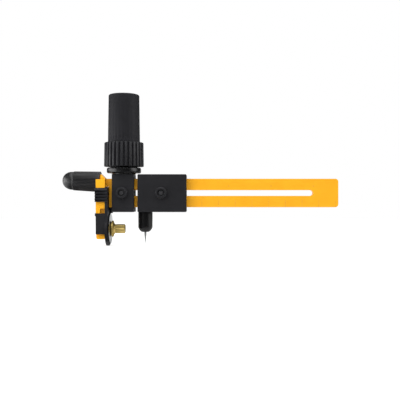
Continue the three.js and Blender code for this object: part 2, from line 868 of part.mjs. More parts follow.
// The blade holder hangs from the end of the arm: a column for the guard, with the hub of the
// blade, a tab in front of the cap, and the spigot that the cap is parked on
function bladeHolder() {
  const body = box(
    columnLeftX,
    columnRightX,
    columnFrontY,
    columnRearY,
    sleeveBottomZ,
    columnShoulderZ,
  );
  const foot = extrudedAlongY(
    roundedRectangle(
      columnLeftX + footNarrowing,
      columnRightX,
      columnBottomZ,
      sleeveBottomZ + guardTravel,
      footRounding,
    ),
    columnFrontY + footRecess,
    columnRearY,
  );
  const tab = box(columnLeftX, columnRightX, columnFrontY, tabRearY, columnShoulderZ - seatGap, tabTopZ);
  const core = box(
    coreLeftX,
    columnRightX,
    tabRearY - seatGap,
    columnRearY,
    columnShoulderZ - seatGap,
    armTopZ,
  );
  const gusset = new THREE.Shape();
  gusset.moveTo(coreLeftX, armTopZ - seatGap);
  gusset.lineTo(columnRightX, armTopZ - seatGap);
  gusset.lineTo(columnRightX, armTopZ);
  gusset.lineTo(coreLeftX, gussetTopZ);
  gusset.closePath();
  const bridge = box(
    columnRightX - seatGap,
    armLeftX + seatGap,
    -armThickness / 2,
    armThickness / 2,
    armTopZ - bridgeHeight,
    armTopZ,
  );
  const hub = layAlongX(bar(hubRadius, columnRightX - seatGap, hubFaceX, midSides));
  return join(
    body,
    foot,
    tab,
    core,
    extrudedAlongY(gusset, tabRearY - seatGap, armThickness / 2),
    bridge,
    hub.translate([0, 0, bladeCentreZ]),
    layAlongX(bar(spigotRadius, -spigotLength, seatGap, midSides))
      .rotate([0, THREE.MathUtils.radToDeg(capTilt), 0])
      .translate([coreLeftX, 0, capAxisZ]),
  );
}

// Blade screw and the nut that it turns into
const studScrewRadius = 1.9;
const shoulderRadius = bladeBore - bladeFit;
const flangeDiameter = 9.7;
const screwFlangeThickness = 1.4;
const flareLength = 1.35;
const knurlRadius = 2.72;
const knurlLength = 5.55;
const knurlTeeth = 24;
const knurlDepth = 0.18;
const knurlChamfer = 0.5;
const knurlShares = [
  [0, 0],
  [0.5, 1],
];
const bladeNutFlats = 7;
const bladeNutHeight = 3.2;
const nutPocket = bladeNutHeight + seatGap * 2;

function arm() {
  const nutHole = layAlongX(
    extrudedAlongZ(
      hexagon(bladeNutFlats + screwFit * 2),
      columnLeftX - cutOverrun,
      columnLeftX + nutPocket,
    ),
  );
  const studHole = layAlongX(
    bar(studScrewRadius + screwFit, columnLeftX, hubFaceX + cutOverrun, smallSides),
  );
  const guide = box(
    columnRightX - guideWidth,
    columnRightX + cutOverrun,
    columnFrontY - cutOverrun,
    columnFrontY + guideDepth,
    sleeveBottomZ,
    guideTopZ,
  );
  const solid = cut(
    join(armRail(), bladeHolder()),
    nutHole.translate([0, 0, bladeCentreZ]),
    studHole.translate([0, 0, bladeCentreZ]),
    guide,
    ...graduations(),
  );
  return meshOf('arm', solid, amberPlastic);
}

function bladeNut() {
  const nut = layAlongX(hexNut(bladeNutFlats, bladeNutHeight, studScrewRadius + screwFit));
  return at(meshOf('blade_nut', nut, steel), columnLeftX + seatGap, 0, bladeCentreZ);
}

function blade() {
  const radius = bladeDiameter / 2;
  const half = bladeThickness / 2;
  const disc = turned(
    [
      [0, -half],
      [radius - bladeBevel, -half],
      [radius, 0],
      [radius - bladeBevel, half],
      [0, half],
    ],
    wideSides,
  );
  const solid = cut(disc, bar(bladeBore, -cutOverrun, cutOverrun, midSides));
  return at(meshOf('blade', layAlongX(solid), bladeSteel), 0, 0, bladeCentreZ);
}

function bladeScrew() {
  const flangeStart = bladeThickness / 2 + bladeSideGap / 2;
  const flangeEnd = flangeStart + screwFlangeThickness;
  const flareEnd = flangeEnd + flareLength;
  const knurlEnd = flareEnd + knurlLength;
  const studEnd = columnLeftX + seatGap * 2;
  const shoulderEnd = hubFaceX + seatGap;
  const flangeRim = flangeDiameter / 2;
  const core = knurlRadius - knurlDepth;
  const profile = [
    [0, studEnd],
    [studScrewRadius, studEnd],
    [studScrewRadius, shoulderEnd],
    [shoulderRadius, shoulderEnd],
    [shoulderRadius, flangeStart],
    [flangeRim, flangeStart],
    [flangeRim, flangeEnd],
  ];
  for (let step = 1; step < arcSteps; step += 1) {
    const angle = (Math.PI / 2) * (step / arcSteps);
    const rise = flangeEnd + flareLength * (1 - Math.cos(angle));
    profile.push([flangeRim - (flangeRim - core) * Math.sin(angle), rise]);
  }
  profile.push([core, flareEnd]);
  profile.push([core, knurlEnd]);
  profile.push([core - knurlChamfer / 2, knurlEnd + knurlChamfer / 2]);
  profile.push([0, knurlEnd + knurlChamfer / 2]);
  const knurl = ribbedOutline(knurlRadius, knurlDepth * 2, knurlTeeth, knurlShares);
  const solid = join(turned(profile, midSides), extrudedAlongZ(knurl, flareEnd, knurlEnd));
  return at(meshOf('blade_screw', layAlongX(solid), brass), 0, 0, bladeCentreZ);
}

// Blade guard: a sleeve and a plate that slide up the column, with a thumb pad in front
function bladeGuard() {
  const wallFrontY = columnFrontY - runGap - guardWall;
  const wallRearY = columnRearY + runGap + guardWall;
  const spineRearY = -armThickness / 2 - guardGap - armFit;
  const sleeveLeftX = columnLeftX + runGap;
  const thickTopZ = armBottomZ - guardTravel - guardGap;
  const disc = layAlongX(bar(guardDiscRadius, plateBackX, plateFaceX, wideSides));
  const outline = join(
    disc.translate([0, 0, bladeCentreZ]),
    box(plateBackX, plateFaceX, wallFrontY, wallRearY, sleeveBottomZ, sleeveTopZ),
    box(plateBackX, plateFaceX, wallFrontY, spineRearY, sleeveBottomZ, spineTopZ),
    box(plateBackX, plateFaceX, -spineRearY, wallRearY, sleeveBottomZ, spineTopZ),
    box(plateFaceX - seatGap, hoodReach, -spineRearY, wallRearY, bladeDiameter + guardGap, spineTopZ),
  );
  const passage = box(
    thinFaceX,
    plateFaceX + cutOverrun,
    spineRearY,
    -spineRearY,
    thickTopZ,
    spineTopZ + cutOverrun,
  );
  const hubPassage = slotShape(
    bladeCentreZ - guardTravel,
    bladeCentreZ,
    0,
    hubRadius + guardGap,
  );
  const hubSlot = extrudedAlongZ(hubPassage, -cutOverrun, guardPlate + cutOverrun * 2)
    .rotate([0, -90, 0])
    .translate([plateFaceX + cutOverrun, 0, 0]);
  const frontWall = box(
    sleeveLeftX,
    plateFaceX,
    wallFrontY,
    wallFrontY + guardWall,
    sleeveBottomZ,
    sleeveTopZ,
  );
  const rearWall = box(
    sleeveLeftX,
    plateFaceX,
    wallRearY - guardWall,
    wallRearY,
    sleeveBottomZ,
    sleeveTopZ,
  );
  const lip = box(
    sleeveLeftX - sleeveLip,
    sleeveLeftX + seatGap,
    wallFrontY,
    wallFrontY + guardWall,
    sleeveTopZ - sleeveLipHeight,
    sleeveTopZ,
  );
  const padRearY = wallFrontY + guardWall;
  const crestY = wallFrontY - ridgeHeight;
  const padShape = new THREE.Shape();
  padShape.moveTo(padRearY, padBottomZ);
  padShape.lineTo(crestY, padBottomZ);
  for (let groove = grooveCount - 1; groove >= 0; groove -= 1) {
    const level = padTopZ - firstGrooveDrop - groove * groovePitch;
    const half = (groovePitch - ridgeFlat) / 2;
    padShape.lineTo(crestY, Math.max(level - half, padBottomZ + seatGap));
    padShape.lineTo(wallFrontY + grooveFloor, level);
    padShape.lineTo(crestY, level + half);
  }
  padShape.lineTo(crestY, padTopZ - padSlope);
  padShape.lineTo(wallFrontY, padTopZ);
  padShape.lineTo(padRearY, padTopZ);
  padShape.closePath();
  const pad = extrudedAlongX(padShape, columnLeftX - padOverhang, plateFaceX - padInset);
  const ribTopZ = guideTopZ - guardTravel - guardGap;
  const rib = box(
    columnRightX - guideWidth + runGap,
    plateBackX + seatGap,
    columnFrontY - runGap - seatGap,
    columnFrontY + guideDepth - runGap,
    sleeveBottomZ + runGap,
    ribTopZ,
  );
  const plate = cut(outline, passage, hubSlot);
  const solid = join(plate, frontWall, rearWall, lip, pad, rib);
  return meshOf('blade_guard', solid, blackPlastic);
}

// Needle cap, parked with its mouth against the blade holder and its dome pointing away
function needleCap() {
  const domeStart = capRibLength;
  const domeRadius = capRibEndRadius - capStep;
  const profile = [
    [0, domeStart - capStep * 2],
    [domeRadius, domeStart - capStep * 2],
    [domeRadius, domeStart],
  ];
  for (let step = 1; step <= arcSteps * 2; step += 1) {
    const angle = (Math.PI / 2) * (step / (arcSteps * 2));
    const reach = domeRadius * Math.cos(angle) ** capDomeShare;
    profile.push([reach, domeStart + capDomeLength * Math.sin(angle)]);
  }
  profile[profile.length - 1][0] = 0;
  const ribs = ribbedOutline(capMouthRadius, capRibDepth, capRibs, capRibShares);
  const body = join(
    taperedRibs(ribs, 0, capRibLength, capRibEndRadius / capMouthRadius),
    turned(profile, midSides),
  );
  const solid = cut(
    body,
    bar(capBore, -cutOverrun, capBoreDepth, midSides),
    bar(capNeedleBore, 0, capNeedleDepth, smallSides),
  );
  const cap = meshOf('needle_cap', solid.rotate([0, -90, 0]), glossPlastic);
  at(cap, -capMouthGap, 0, 0);
  const tilted = at(groupOf(cap), coreLeftX, 0, capAxisZ);
  tilted.rotation.y = capTilt;
  return tilted;
}

// Assembly
const needleParts = groupOf(needle(), needleHolder(), holderStud());

const needleBlockParts = groupOf(
  needleBlock(),
  clampNutMesh('clamp_nut'),
  clampWasher(),
  clampKnob(),
  clampScrew(),
);
at(needleBlockParts, needleOffset, 0, armCentreZ);

const handleBlockParts = groupOf(handleBlock(), clampNutMesh('handle_block_nut'), handleBlockScrew());
at(handleBlockParts, -bossShift, 0, armCentreZ);

const handleParts = groupOf(
  handleBlockParts,
  bearingFlange(),
  spindleBolt(),
  ratchetWheel(),
  spindleWasher(),
  spindleNut(),
  collar(),
  grip(),
);
Object.entries(pawlTurns).forEach(([name, turn]) => {
  handleParts.add(pawl(name, turn));
  handleParts.add(pawlSpring(`${name}_spring`, turn));
});
at(handleParts, bladeToHandle, 0, 0);

const armParts = groupOf(arm(), handleParts, bladeNut(), blade(), bladeScrew(), bladeGuard(), needleCap());
at(armParts, -cutRadius, 0, 0);

const circleCutter = groupOf(needleParts, needleBlockParts, armParts);

export default circleCutter;
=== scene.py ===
import math

import bmesh
import bpy
from mathutils import Matrix, Vector


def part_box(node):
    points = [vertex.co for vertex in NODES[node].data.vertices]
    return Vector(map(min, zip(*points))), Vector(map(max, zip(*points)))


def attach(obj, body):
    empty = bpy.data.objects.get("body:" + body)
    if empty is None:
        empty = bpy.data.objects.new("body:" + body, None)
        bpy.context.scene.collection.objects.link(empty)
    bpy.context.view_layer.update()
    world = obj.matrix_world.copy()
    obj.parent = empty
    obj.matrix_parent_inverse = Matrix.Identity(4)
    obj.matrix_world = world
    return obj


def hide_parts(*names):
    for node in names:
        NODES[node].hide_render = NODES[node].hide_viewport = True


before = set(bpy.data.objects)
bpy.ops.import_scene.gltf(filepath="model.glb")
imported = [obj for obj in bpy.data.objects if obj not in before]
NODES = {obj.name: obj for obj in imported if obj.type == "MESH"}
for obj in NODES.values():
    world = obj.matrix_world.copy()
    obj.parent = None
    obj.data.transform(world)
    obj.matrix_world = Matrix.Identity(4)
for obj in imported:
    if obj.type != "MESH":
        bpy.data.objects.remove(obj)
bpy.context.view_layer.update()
MM = 0.001

# Camera, level in front of the tool, as the photograph was taken. Places are in metres
SENSOR_WIDTH = 36
LENS = 56.81
CAMERA_PLACE = (0.03284, -0.380, 0.02625)
NEAR_CLIP = 0.01
FAR_CLIP = 50

scene = bpy.context.scene
scene.view_settings.view_transform = "Standard"


def add_object(name, data):
    made = bpy.data.objects.new(name, data)
    scene.collection.objects.link(made)
    return made


def add_camera():
    data = bpy.data.cameras.new("camera")
    data.sensor_fit = "HORIZONTAL"
    data.sensor_width = SENSOR_WIDTH
    data.lens = LENS
    data.clip_start = NEAR_CLIP
    data.clip_end = FAR_CLIP
    made = add_object("camera", data)
    made.location = CAMERA_PLACE
    made.rotation_euler = (math.radians(90), 0, 0)
    return made


scene.camera = add_camera()

# Material helpers. Scales of noise are in features a metre
BLOTCH_SCALE = 90
STAIN_SCALE = 220
SHEEN_SCALE = 500
NOISE_ROUGHNESS = 0.55
NOISE_LOW = 0.3
NOISE_HIGH = 0.7
# Paler edges on the plastics: partly rubbed wear, partly a painted edge highlight
WEAR_AND_HIGHLIGHT_RADIUS = 0.35 * MM
WEAR_AND_HIGHLIGHT_STRENGTH = 0.6
WEAR_AND_HIGHLIGHT_SHARP_DOT = 0.86
WEAR_AND_HIGHLIGHT_FLAT_DOT = 0.995
RIM_START_FACING = 0.45
RIM_END_FACING = 0.80
LAYER_BLEND = 0.5


def empty_tree(owner):
    """The cleared node tree of a material or a world."""
    owner.use_nodes = True
    owner.node_tree.nodes.clear()
    return owner.node_tree


def new_material(name):
    material = bpy.data.materials.new(name)
    tree = empty_tree(material)
    shader = tree.nodes.new("ShaderNodeBsdfPrincipled")
    output = tree.nodes.new("ShaderNodeOutputMaterial")
    tree.links.new(shader.outputs["BSDF"], output.inputs["Surface"])
    return material, tree, shader


def add_node(tree, kind, inputs, **settings):
    """A node whose inputs are linked to sockets or set to values."""
    made = tree.nodes.new(kind)
    for key, value in settings.items():
        setattr(made, key, value)
    for key, value in inputs.items():
        if isinstance(value, bpy.types.NodeSocket):
            tree.links.new(value, made.inputs[key])
        else:
            made.inputs[key].default_value = value
    return made


def noise(tree, scale, detail, stretch=(1, 1, 1)):
    """Noise over the piece, stretched along one axis if asked."""
    place = add_node(tree, "ShaderNodeTexCoord", {})
    mapped = add_node(
        tree, "ShaderNodeMapping", {"Vector": place.outputs["Object"], "Scale": stretch}
    )
    made = add_node(
        tree,
        "ShaderNodeTexNoise",
        {
            "Vector": mapped.outputs["Vector"],
            "Scale": scale,
            "Detail": detail,
            "Roughness": NOISE_ROUGHNESS,
        },
    )
    return made.outputs["Fac"]


def spread(tree, value, low, high, from_low=NOISE_LOW, from_high=NOISE_HIGH):
    """Maps the range of a value to another range."""
    made = add_node(
        tree,
        "ShaderNodeMapRange",
        {"Value": value, "From Min": from_low, "From Max": from_high, "To Min": low, "To Max": high},
    )
    return made.outputs["Result"]


def mix_colour(tree, factor, first, second):
    made = tree.nodes.new("ShaderNodeMix")
    made.data_type = "RGBA"
    colours = {socket.identifier: socket for socket in made.inputs}
    for key, value in (("A_Color", first), ("B_Color", second)):
        if isinstance(value, bpy.types.NodeSocket):
            tree.links.new(value, colours[key])
        else:
            colours[key].default_value = (*value, 1)
    tree.links.new(factor, colours["Factor_Float"])
    results = {socket.identifier: socket for socket in made.outputs}
    return results["Result_Color"]


def mix_shader(tree, factor, first, second):
    made = tree.nodes.new("ShaderNodeMixShader")
    for index, socket in enumerate((factor, first, second)):
        tree.links.new(socket, made.inputs[index])
    return made.outputs["Shader"]


def worn_and_lit_edges(tree, radius, strength):
    """Strength on edges and 0 on flats, from how far the rounded normal leaves the plain one. The paler
    edges are partly rubbed wear and partly a painted edge highlight.
    """
    soft = add_node(tree, "ShaderNodeBevel", {"Radius": radius}, samples=4)
    plain = add_node(tree, "ShaderNodeNewGeometry", {})
    dot = add_node(
        tree,
        "ShaderNodeVectorMath",
        {0: soft.outputs["Normal"], 1: plain.outputs["Normal"]},
        operation="DOT_PRODUCT",
    )
    return spread(tree, dot.outputs["Value"], strength, 0.0, WEAR_AND_HIGHLIGHT_SHARP_DOT, WEAR_AND_HIGHLIGHT_FLAT_DOT)


def bump(tree, shader, height, distance):
    made = add_node(tree, "ShaderNodeBump", {"Height": height, "Distance": distance, "Strength": 1.0})
    tree.links.new(made.outputs["Normal"], shader.inputs["Normal"])


def moulded_plastic(name, deep, pale, rubbed_and_lit, roughness, grain, grain_depth, level, rim=None):
    """Moulded plastic with slow colour variation, paler edges that are partly rubbed wear and partly a
    painted highlight, and a fine grain.
    level is the specular level, and rim is what it becomes at a grazing angle."""
    material, tree, shader = new_material(name)
    body = mix_colour(tree, spread(tree, noise(tree, BLOTCH_SCALE, detail=4), 0, 1), deep, pale)
    worn_and_lit = mix_colour(tree, worn_and_lit_edges(tree, WEAR_AND_HIGHLIGHT_RADIUS, WEAR_AND_HIGHLIGHT_STRENGTH), body, rubbed_and_lit)
    tree.links.new(worn_and_lit, shader.inputs["Base Color"])
    sheen = spread(tree, noise(tree, SHEEN_SCALE, detail=5), *roughness)
    tree.links.new(sheen, shader.inputs["Roughness"])
    bump(tree, shader, noise(tree, grain, detail=3), grain_depth)
    shader.inputs["Specular IOR Level"].default_value = level
    if rim is not None:
        layer = add_node(tree, "ShaderNodeLayerWeight", {"Blend": LAYER_BLEND})
        facing = layer.outputs["Facing"]
        shine = spread(tree, facing, level, rim, RIM_START_FACING, RIM_END_FACING)
        tree.links.new(shine, shader.inputs["Specular IOR Level"])
    return material


def worked_metal(
    name, dark, bright, roughness, line_scale, stretch, line_depth, edge_on=0.6, metallic=1.0
):
    """Bare metal with fine tool lines and a slow stain. edge_on tints its grazing reflections."""
    material, tree, shader = new_material(name)
    lines = noise(tree, line_scale, detail=3, stretch=stretch)
    stain = mix_colour(tree, spread(tree, noise(tree, STAIN_SCALE, detail=4), 0, 1), dark, bright)
    tree.links.new(stain, shader.inputs["Base Color"])
    tree.links.new(spread(tree, lines, *roughness), shader.inputs["Roughness"])
    bump(tree, shader, lines, line_depth)
    shader.inputs["Metallic"].default_value = metallic
    shader.inputs["Specular Tint"].default_value = (edge_on, edge_on, edge_on, 1)
    return material


# Plastics
AMBER = moulded_plastic(
    "amber_plastic",
    deep=(0.900, 0.400, 0.006),
    pale=(0.970, 0.450, 0.010),
    rubbed_and_lit=(1.000, 0.520, 0.030),
    roughness=(0.34, 0.46),
    grain=3800,
    grain_depth=0.012 * MM,
    level=0.28,
)
BLACK = moulded_plastic(
    "black_plastic",
    deep=(0.0088, 0.0087, 0.0104),
    pale=(0.0124, 0.0123, 0.0147),
    rubbed_and_lit=(0.0250, 0.0250, 0.0280),
    roughness=(0.48, 0.60),
    grain=4200,
    grain_depth=0.010 * MM,
    level=0.32,
    rim=0.14,
)
GRIP_BLACK = moulded_plastic(
    "grip_black",
    deep=(0.0118, 0.0118, 0.0138),
    pale=(0.0164, 0.0164, 0.0190),
    rubbed_and_lit=(0.0280, 0.0280, 0.0312),
    roughness=(0.50, 0.64),
    grain=4200,
    grain_depth=0.010 * MM,
    level=0.12,
    rim=0.07,
)
GLOSS = moulded_plastic(
    "black_gloss_plastic",
    deep=(0.0018, 0.0018, 0.0021),
    pale=(0.0028, 0.0028, 0.0032),
    rubbed_and_lit=(0.0060, 0.0060, 0.0066),
    roughness=(0.25, 0.30),
    grain=1600,
    grain_depth=0.0006 * MM,
    level=0.44,
    rim=0.2,
)
CAP_PLASTIC = moulded_plastic(
    "cap_plastic",
    deep=(0.0080, 0.0081, 0.0088),
    pale=(0.0110, 0.0112, 0.0122),
    rubbed_and_lit=(0.0180, 0.0180, 0.0195),
    roughness=(0.38, 0.41),
    grain=3000,
    grain_depth=0.0007 * MM,
    level=0.6,
    rim=0.12,
)
COLLAR_BLACK = moulded_plastic(
    "collar_black",
    deep=(0.0110, 0.0110, 0.0128),
    pale=(0.0155, 0.0155, 0.0180),
    rubbed_and_lit=(0.0260, 0.0260, 0.0290),
    roughness=(0.44, 0.56),
    grain=4200,
    grain_depth=0.008 * MM,
    level=0.36,
    rim=0.12,
)
HOLDER_BLACK = moulded_plastic(
    "holder_black",
    deep=(0.0026, 0.0026, 0.0030),
    pale=(0.0042, 0.0042, 0.0048),
    rubbed_and_lit=(0.0160, 0.0160, 0.0175),
    roughness=(0.32, 0.38),
    grain=2400,
    grain_depth=0.001 * MM,
    level=0.27,
    rim=0.06,
)

# Metals
STEEL = worked_metal(
    "steel",
    dark=(0.36, 0.37, 0.38),
    bright=(0.50, 0.51, 0.52),
    roughness=(0.26, 0.42),
    line_scale=900,
    stretch=(4, 4, 0.6),
    line_depth=0.003 * MM,
)
NEEDLE_STEEL = worked_metal(
    "needle_steel",
    dark=(0.25, 0.26, 0.26),
    bright=(0.33, 0.34, 0.34),
    roughness=(0.42, 0.54),
    line_scale=1200,
    stretch=(4, 4, 0.4),
    line_depth=0.002 * MM,
    edge_on=0.02,
    metallic=0.9,
)
DARK_STEEL = worked_metal(
    "dark_steel",
    dark=(0.036, 0.036, 0.039),
    bright=(0.052, 0.052, 0.056),
    roughness=(0.44, 0.56),
    line_scale=1500,
    stretch=(1, 1, 1),
    line_depth=0.004 * MM,
    metallic=0.35,
)
BRASS = worked_metal(
    "brass",
    dark=(0.52, 0.385, 0.125),
    bright=(0.66, 0.50, 0.185),
    roughness=(0.34, 0.44),
    line_scale=900,
    stretch=(5, 0.6, 0.6),
    line_depth=0.003 * MM,
    edge_on=0.1,
    metallic=0.85,
)


# Ground steel of the blade
GRIND_SCALE = 900
GRIND_DISTORTION = 1.5
GRIND_DEPTH = 0.0015 * MM
GRIND_ROUGHNESS = (0.20, 0.32)
BLADE_STAIN_SCALE = 300
BLADE_DARK = (0.29, 0.30, 0.30)
BLADE_BRIGHT = (0.38, 0.39, 0.39)


def ground_blade(name, level):
    """Steel whose fine grinding lines run round the blade's own axis, level metres up."""
    material, tree, shader = new_material(name)
    place = add_node(tree, "ShaderNodeTexCoord", {})
    centred = add_node(
        tree, "ShaderNodeMapping", {"Vector": place.outputs["Object"], "Location": (0, 0, -level)}
    )
    rings = add_node(
        tree,
        "ShaderNodeTexWave",
        {
            "Vector": centred.outputs["Vector"],
            "Scale": GRIND_SCALE,
            "Distortion": GRIND_DISTORTION,
            "Detail": 3,
        },
        wave_type="RINGS",
        rings_direction="X",
    )
    spots = spread(tree, noise(tree, BLADE_STAIN_SCALE, detail=4), 0, 1)
    stain = mix_colour(tree, spots, BLADE_DARK, BLADE_BRIGHT)
    tree.links.new(stain, shader.inputs["Base Color"])
    polish = spread(tree, rings.outputs["Fac"], *GRIND_ROUGHNESS, 0, 1)
    tree.links.new(polish, shader.inputs["Roughness"])
    bump(tree, shader, rings.outputs["Fac"], GRIND_DEPTH)
    shader.inputs["Metallic"].default_value = 1
    return material


# Paint in the arm's marks
PAINT_SCALE = 2500
PAINT_ROUGHNESS = 0.6
PAINT_THIN = (0.62, 0.26, 0.006)
PAINT_THICK = (0.93, 0.39, 0.009)


def mark_paint():
    material, tree, shader = new_material("mark_paint")
    coats = spread(tree, noise(tree, PAINT_SCALE, detail=3), 0, 1)
    colour = mix_colour(tree, coats, PAINT_THIN, PAINT_THICK)
    tree.links.new(colour, shader.inputs["Base Color"])
    shader.inputs["Roughness"].default_value = PAINT_ROUGHNESS
    return material


# Places from the frame, in millimetres
X, Y, Z = range(3)


def node_box(name):
    """Lowest and highest corner of a CAD node at rest, to a thousandth of a millimetre."""
    return [[round(value / MM, 3) for value in corner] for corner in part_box(name)]


def middle(name, axis):
    low, high = node_box(name)
    return (low[axis] + high[axis]) / 2


HANDLE_X = middle("bearing_flange", X)
ARM_CENTRE = middle("clamp_screw", Z)
BLADE_X = middle("blade", X)
BLADE_LEVEL = middle("blade", Z)

BLADE = ground_blade("blade_steel", BLADE_LEVEL * MM)
MARK_PAINT = mark_paint()

# Shape helpers. Profiles are (radius, height) pairs in millimetres
SMALLEST_RADIUS = 1e-6
CORNER_SHARE = 0.45
SMOOTH_ANGLE = 32
ALONG_X = Matrix.Rotation(math.radians(90), 4, "Y")
ALONG_Y = Matrix.Rotation(math.radians(-90), 4, "X")
AGAINST_X = Matrix.Rotation(math.radians(-90), 4, "Y")

# Points round a ring, from small pins to the largest discs
PIN_POINTS = 24
ROD_POINTS = 48
HOLDER_POINTS = 96
DISC_POINTS = 144


def soften(profile, size, steps):
    """Rounds each corner of an open line of points, over at most size on either side of it."""
    rounded = [tuple(profile[0])]
    for before, corner, after in zip(profile, profile[1:], profile[2:]):
        here = Vector(corner)
        back = Vector(before) - here
        ahead = Vector(after) - here
        reach = min(size, back.length * CORNER_SHARE, ahead.length * CORNER_SHARE)
        start = here + back.normalized() * reach
        end = here + ahead.normalized() * reach
        for step in range(steps + 1):
            t = step / steps
            rounded.append(tuple((1 - t) ** 2 * start + 2 * t * (1 - t) * here + t * t * end))
    rounded.append(tuple(profile[-1]))
    return rounded


def polar(radius, angle, height):
    return Vector((radius * math.cos(angle), radius * math.sin(angle), height))


def ring(radius, height, count, shape=None):
    """One ring of points, or a single point where the radius is nothing.
    shape turns a share of a turn into a change of the radius."""
    if radius < SMALLEST_RADIUS:
        return [Vector((0, 0, height))]
    points = []
    for step in range(count):
        share = step / count
        reach = radius + (shape(share) if shape else 0)
        points.append(polar(reach, 2 * math.pi * share, height))
    return points


def turn(profile, count):
    return [ring(radius, height, count) for radius, height in profile]


def skin(rings, loop=False):
    """Points and faces over a run of rings. A ring of one point is a pole."""
    points = []
    starts = []
    for row in rings:
        starts.append(len(points))
        points.extend(row)
    faces = []
    pairs = list(zip(range(len(rings)), range(1, len(rings))))
    if loop:
        pairs.append((len(rings) - 1, 0))
    for low, high in pairs:
        below, above = len(rings[low]), len(rings[high])
        count = max(below, above)
        for step in range(count):
            following = (step + 1) % count
            a = starts[low] + (step if below > 1 else 0)
            b = starts[low] + (following if below > 1 else 0)
            c = starts[high] + (following if above > 1 else 0)
            d = starts[high] + (step if above > 1 else 0)
            face = [a, b, c, d]
            faces.append([v for index, v in enumerate(face) if v not in face[:index]])
    if not loop:
        if len(rings[0]) > 1:
            faces.append([starts[0] + step for step in reversed(range(len(rings[0])))])
        if len(rings[-1]) > 1:
            faces.append([starts[-1] + step for step in range(len(rings[-1]))])
    return points, faces


def moved_skin(shape, shift):
    points, faces = shape
    return [shift @ point for point in points], faces


def closed_mesh(name, points, faces):
    """A mesh in metres whose faces all look outwards, from points in millimetres."""
    mesh = bpy.data.meshes.new(name)
    mesh.from_pydata([tuple(point * MM) for point in points], [], faces)
    work = bmesh.new()
    work.from_mesh(mesh)
    bmesh.ops.recalc_face_normals(work, faces=work.faces)
    work.to_mesh(mesh)
    work.free()
    return mesh


def shade(mesh, sharp):
    mesh.shade_smooth()
    mesh.set_sharp_from_angle(angle=math.radians(sharp))


def piece(
    name,
    skins,
    material,
    body,
    turned=Matrix.Identity(4),
    moved=(0, 0, 0),
    sharp=SMOOTH_ANGLE,
    stands_for=(),
):
    """A piece from closed skins, laid along its axis, moved to its place and put on its body."""
    shift = Matrix.Translation(Vector(moved)) @ turned
    points = []
    faces = []
    for skin_points, skin_faces in skins:
        start = len(points)
        points.extend(shift @ point for point in skin_points)
        faces.extend([start + index for index in face] for face in skin_faces)
    mesh = closed_mesh(name, points, faces)
    shade(mesh, sharp)
    mesh.materials.append(material)
    made = add_object(name, mesh)
    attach(made, body)
    if stands_for:
        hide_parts(*stands_for)
    return made


# Dressing of the CAD nodes that stay: the facets are welded, the edges rounded, and the
# surface shaded smooth wherever it isn't sharp
WELD_DISTANCE = 0.0005 * MM
FLAT_ANGLE = 0.4
BEVEL_SEGMENTS = 3


def smooth_by_angle(limit):
    group = bpy.data.node_groups.new("smooth_by_angle", "GeometryNodeTree")
    group.interface.new_socket("Geometry", in_out="INPUT", socket_type="NodeSocketGeometry")
    group.interface.new_socket("Geometry", in_out="OUTPUT", socket_type="NodeSocketGeometry")
    start = group.nodes.new("NodeGroupInput")
    end = group.nodes.new("NodeGroupOutput")
    faces = group.nodes.new("GeometryNodeSetShadeSmooth")
    faces.domain = "FACE"
    edges = group.nodes.new("GeometryNodeSetShadeSmooth")
    edges.domain = "EDGE"
    edges.inputs["Shade Smooth"].default_value = False
    angle = group.nodes.new("GeometryNodeInputMeshEdgeAngle")
    wide = group.nodes.new("FunctionNodeCompare")
    wide.data_type = "FLOAT"
    wide.operation = "GREATER_THAN"
    wide.inputs["B"].default_value = math.radians(limit)
    group.links.new(angle.outputs["Unsigned Angle"], wide.inputs["A"])
    group.links.new(wide.outputs["Result"], edges.inputs["Selection"])
    group.links.new(start.outputs["Geometry"], faces.inputs["Geometry"])
    group.links.new(faces.outputs["Geometry"], edges.inputs["Geometry"])
    group.links.new(edges.outputs["Geometry"], end.inputs["Geometry"])
    return group


SMOOTH = smooth_by_angle(SMOOTH_ANGLE)


def dress(name, material, rounding, join_flats=True):
    """A material and rounded edges for a CAD node. rounding is in millimetres."""
    node = NODES[name]
    for slot in node.material_slots:
        slot.material = material
    weld = node.modifiers.new("weld", "WELD")
    weld.merge_threshold = WELD_DISTANCE
    if join_flats:
        flats = node.modifiers.new("flats", "DECIMATE")
        flats.decimate_type = "DISSOLVE"
        flats.angle_limit = math.radians(FLAT_ANGLE)
    edges = node.modifiers.new("edges", "BEVEL")
    edges.width = rounding * MM
    edges.segments = BEVEL_SEGMENTS
    edges.limit_method = "ANGLE"
    edges.angle_limit = math.radians(SMOOTH_ANGLE)
    edges.use_clamp_overlap = True
    edges.miter_outer = "MITER_ARC"
    smoothing = node.modifiers.new("shade", "NODES")
    smoothing.node_group = SMOOTH
    even = node.modifiers.new("even", "WEIGHTED_NORMAL")
    even.keep_sharp = True


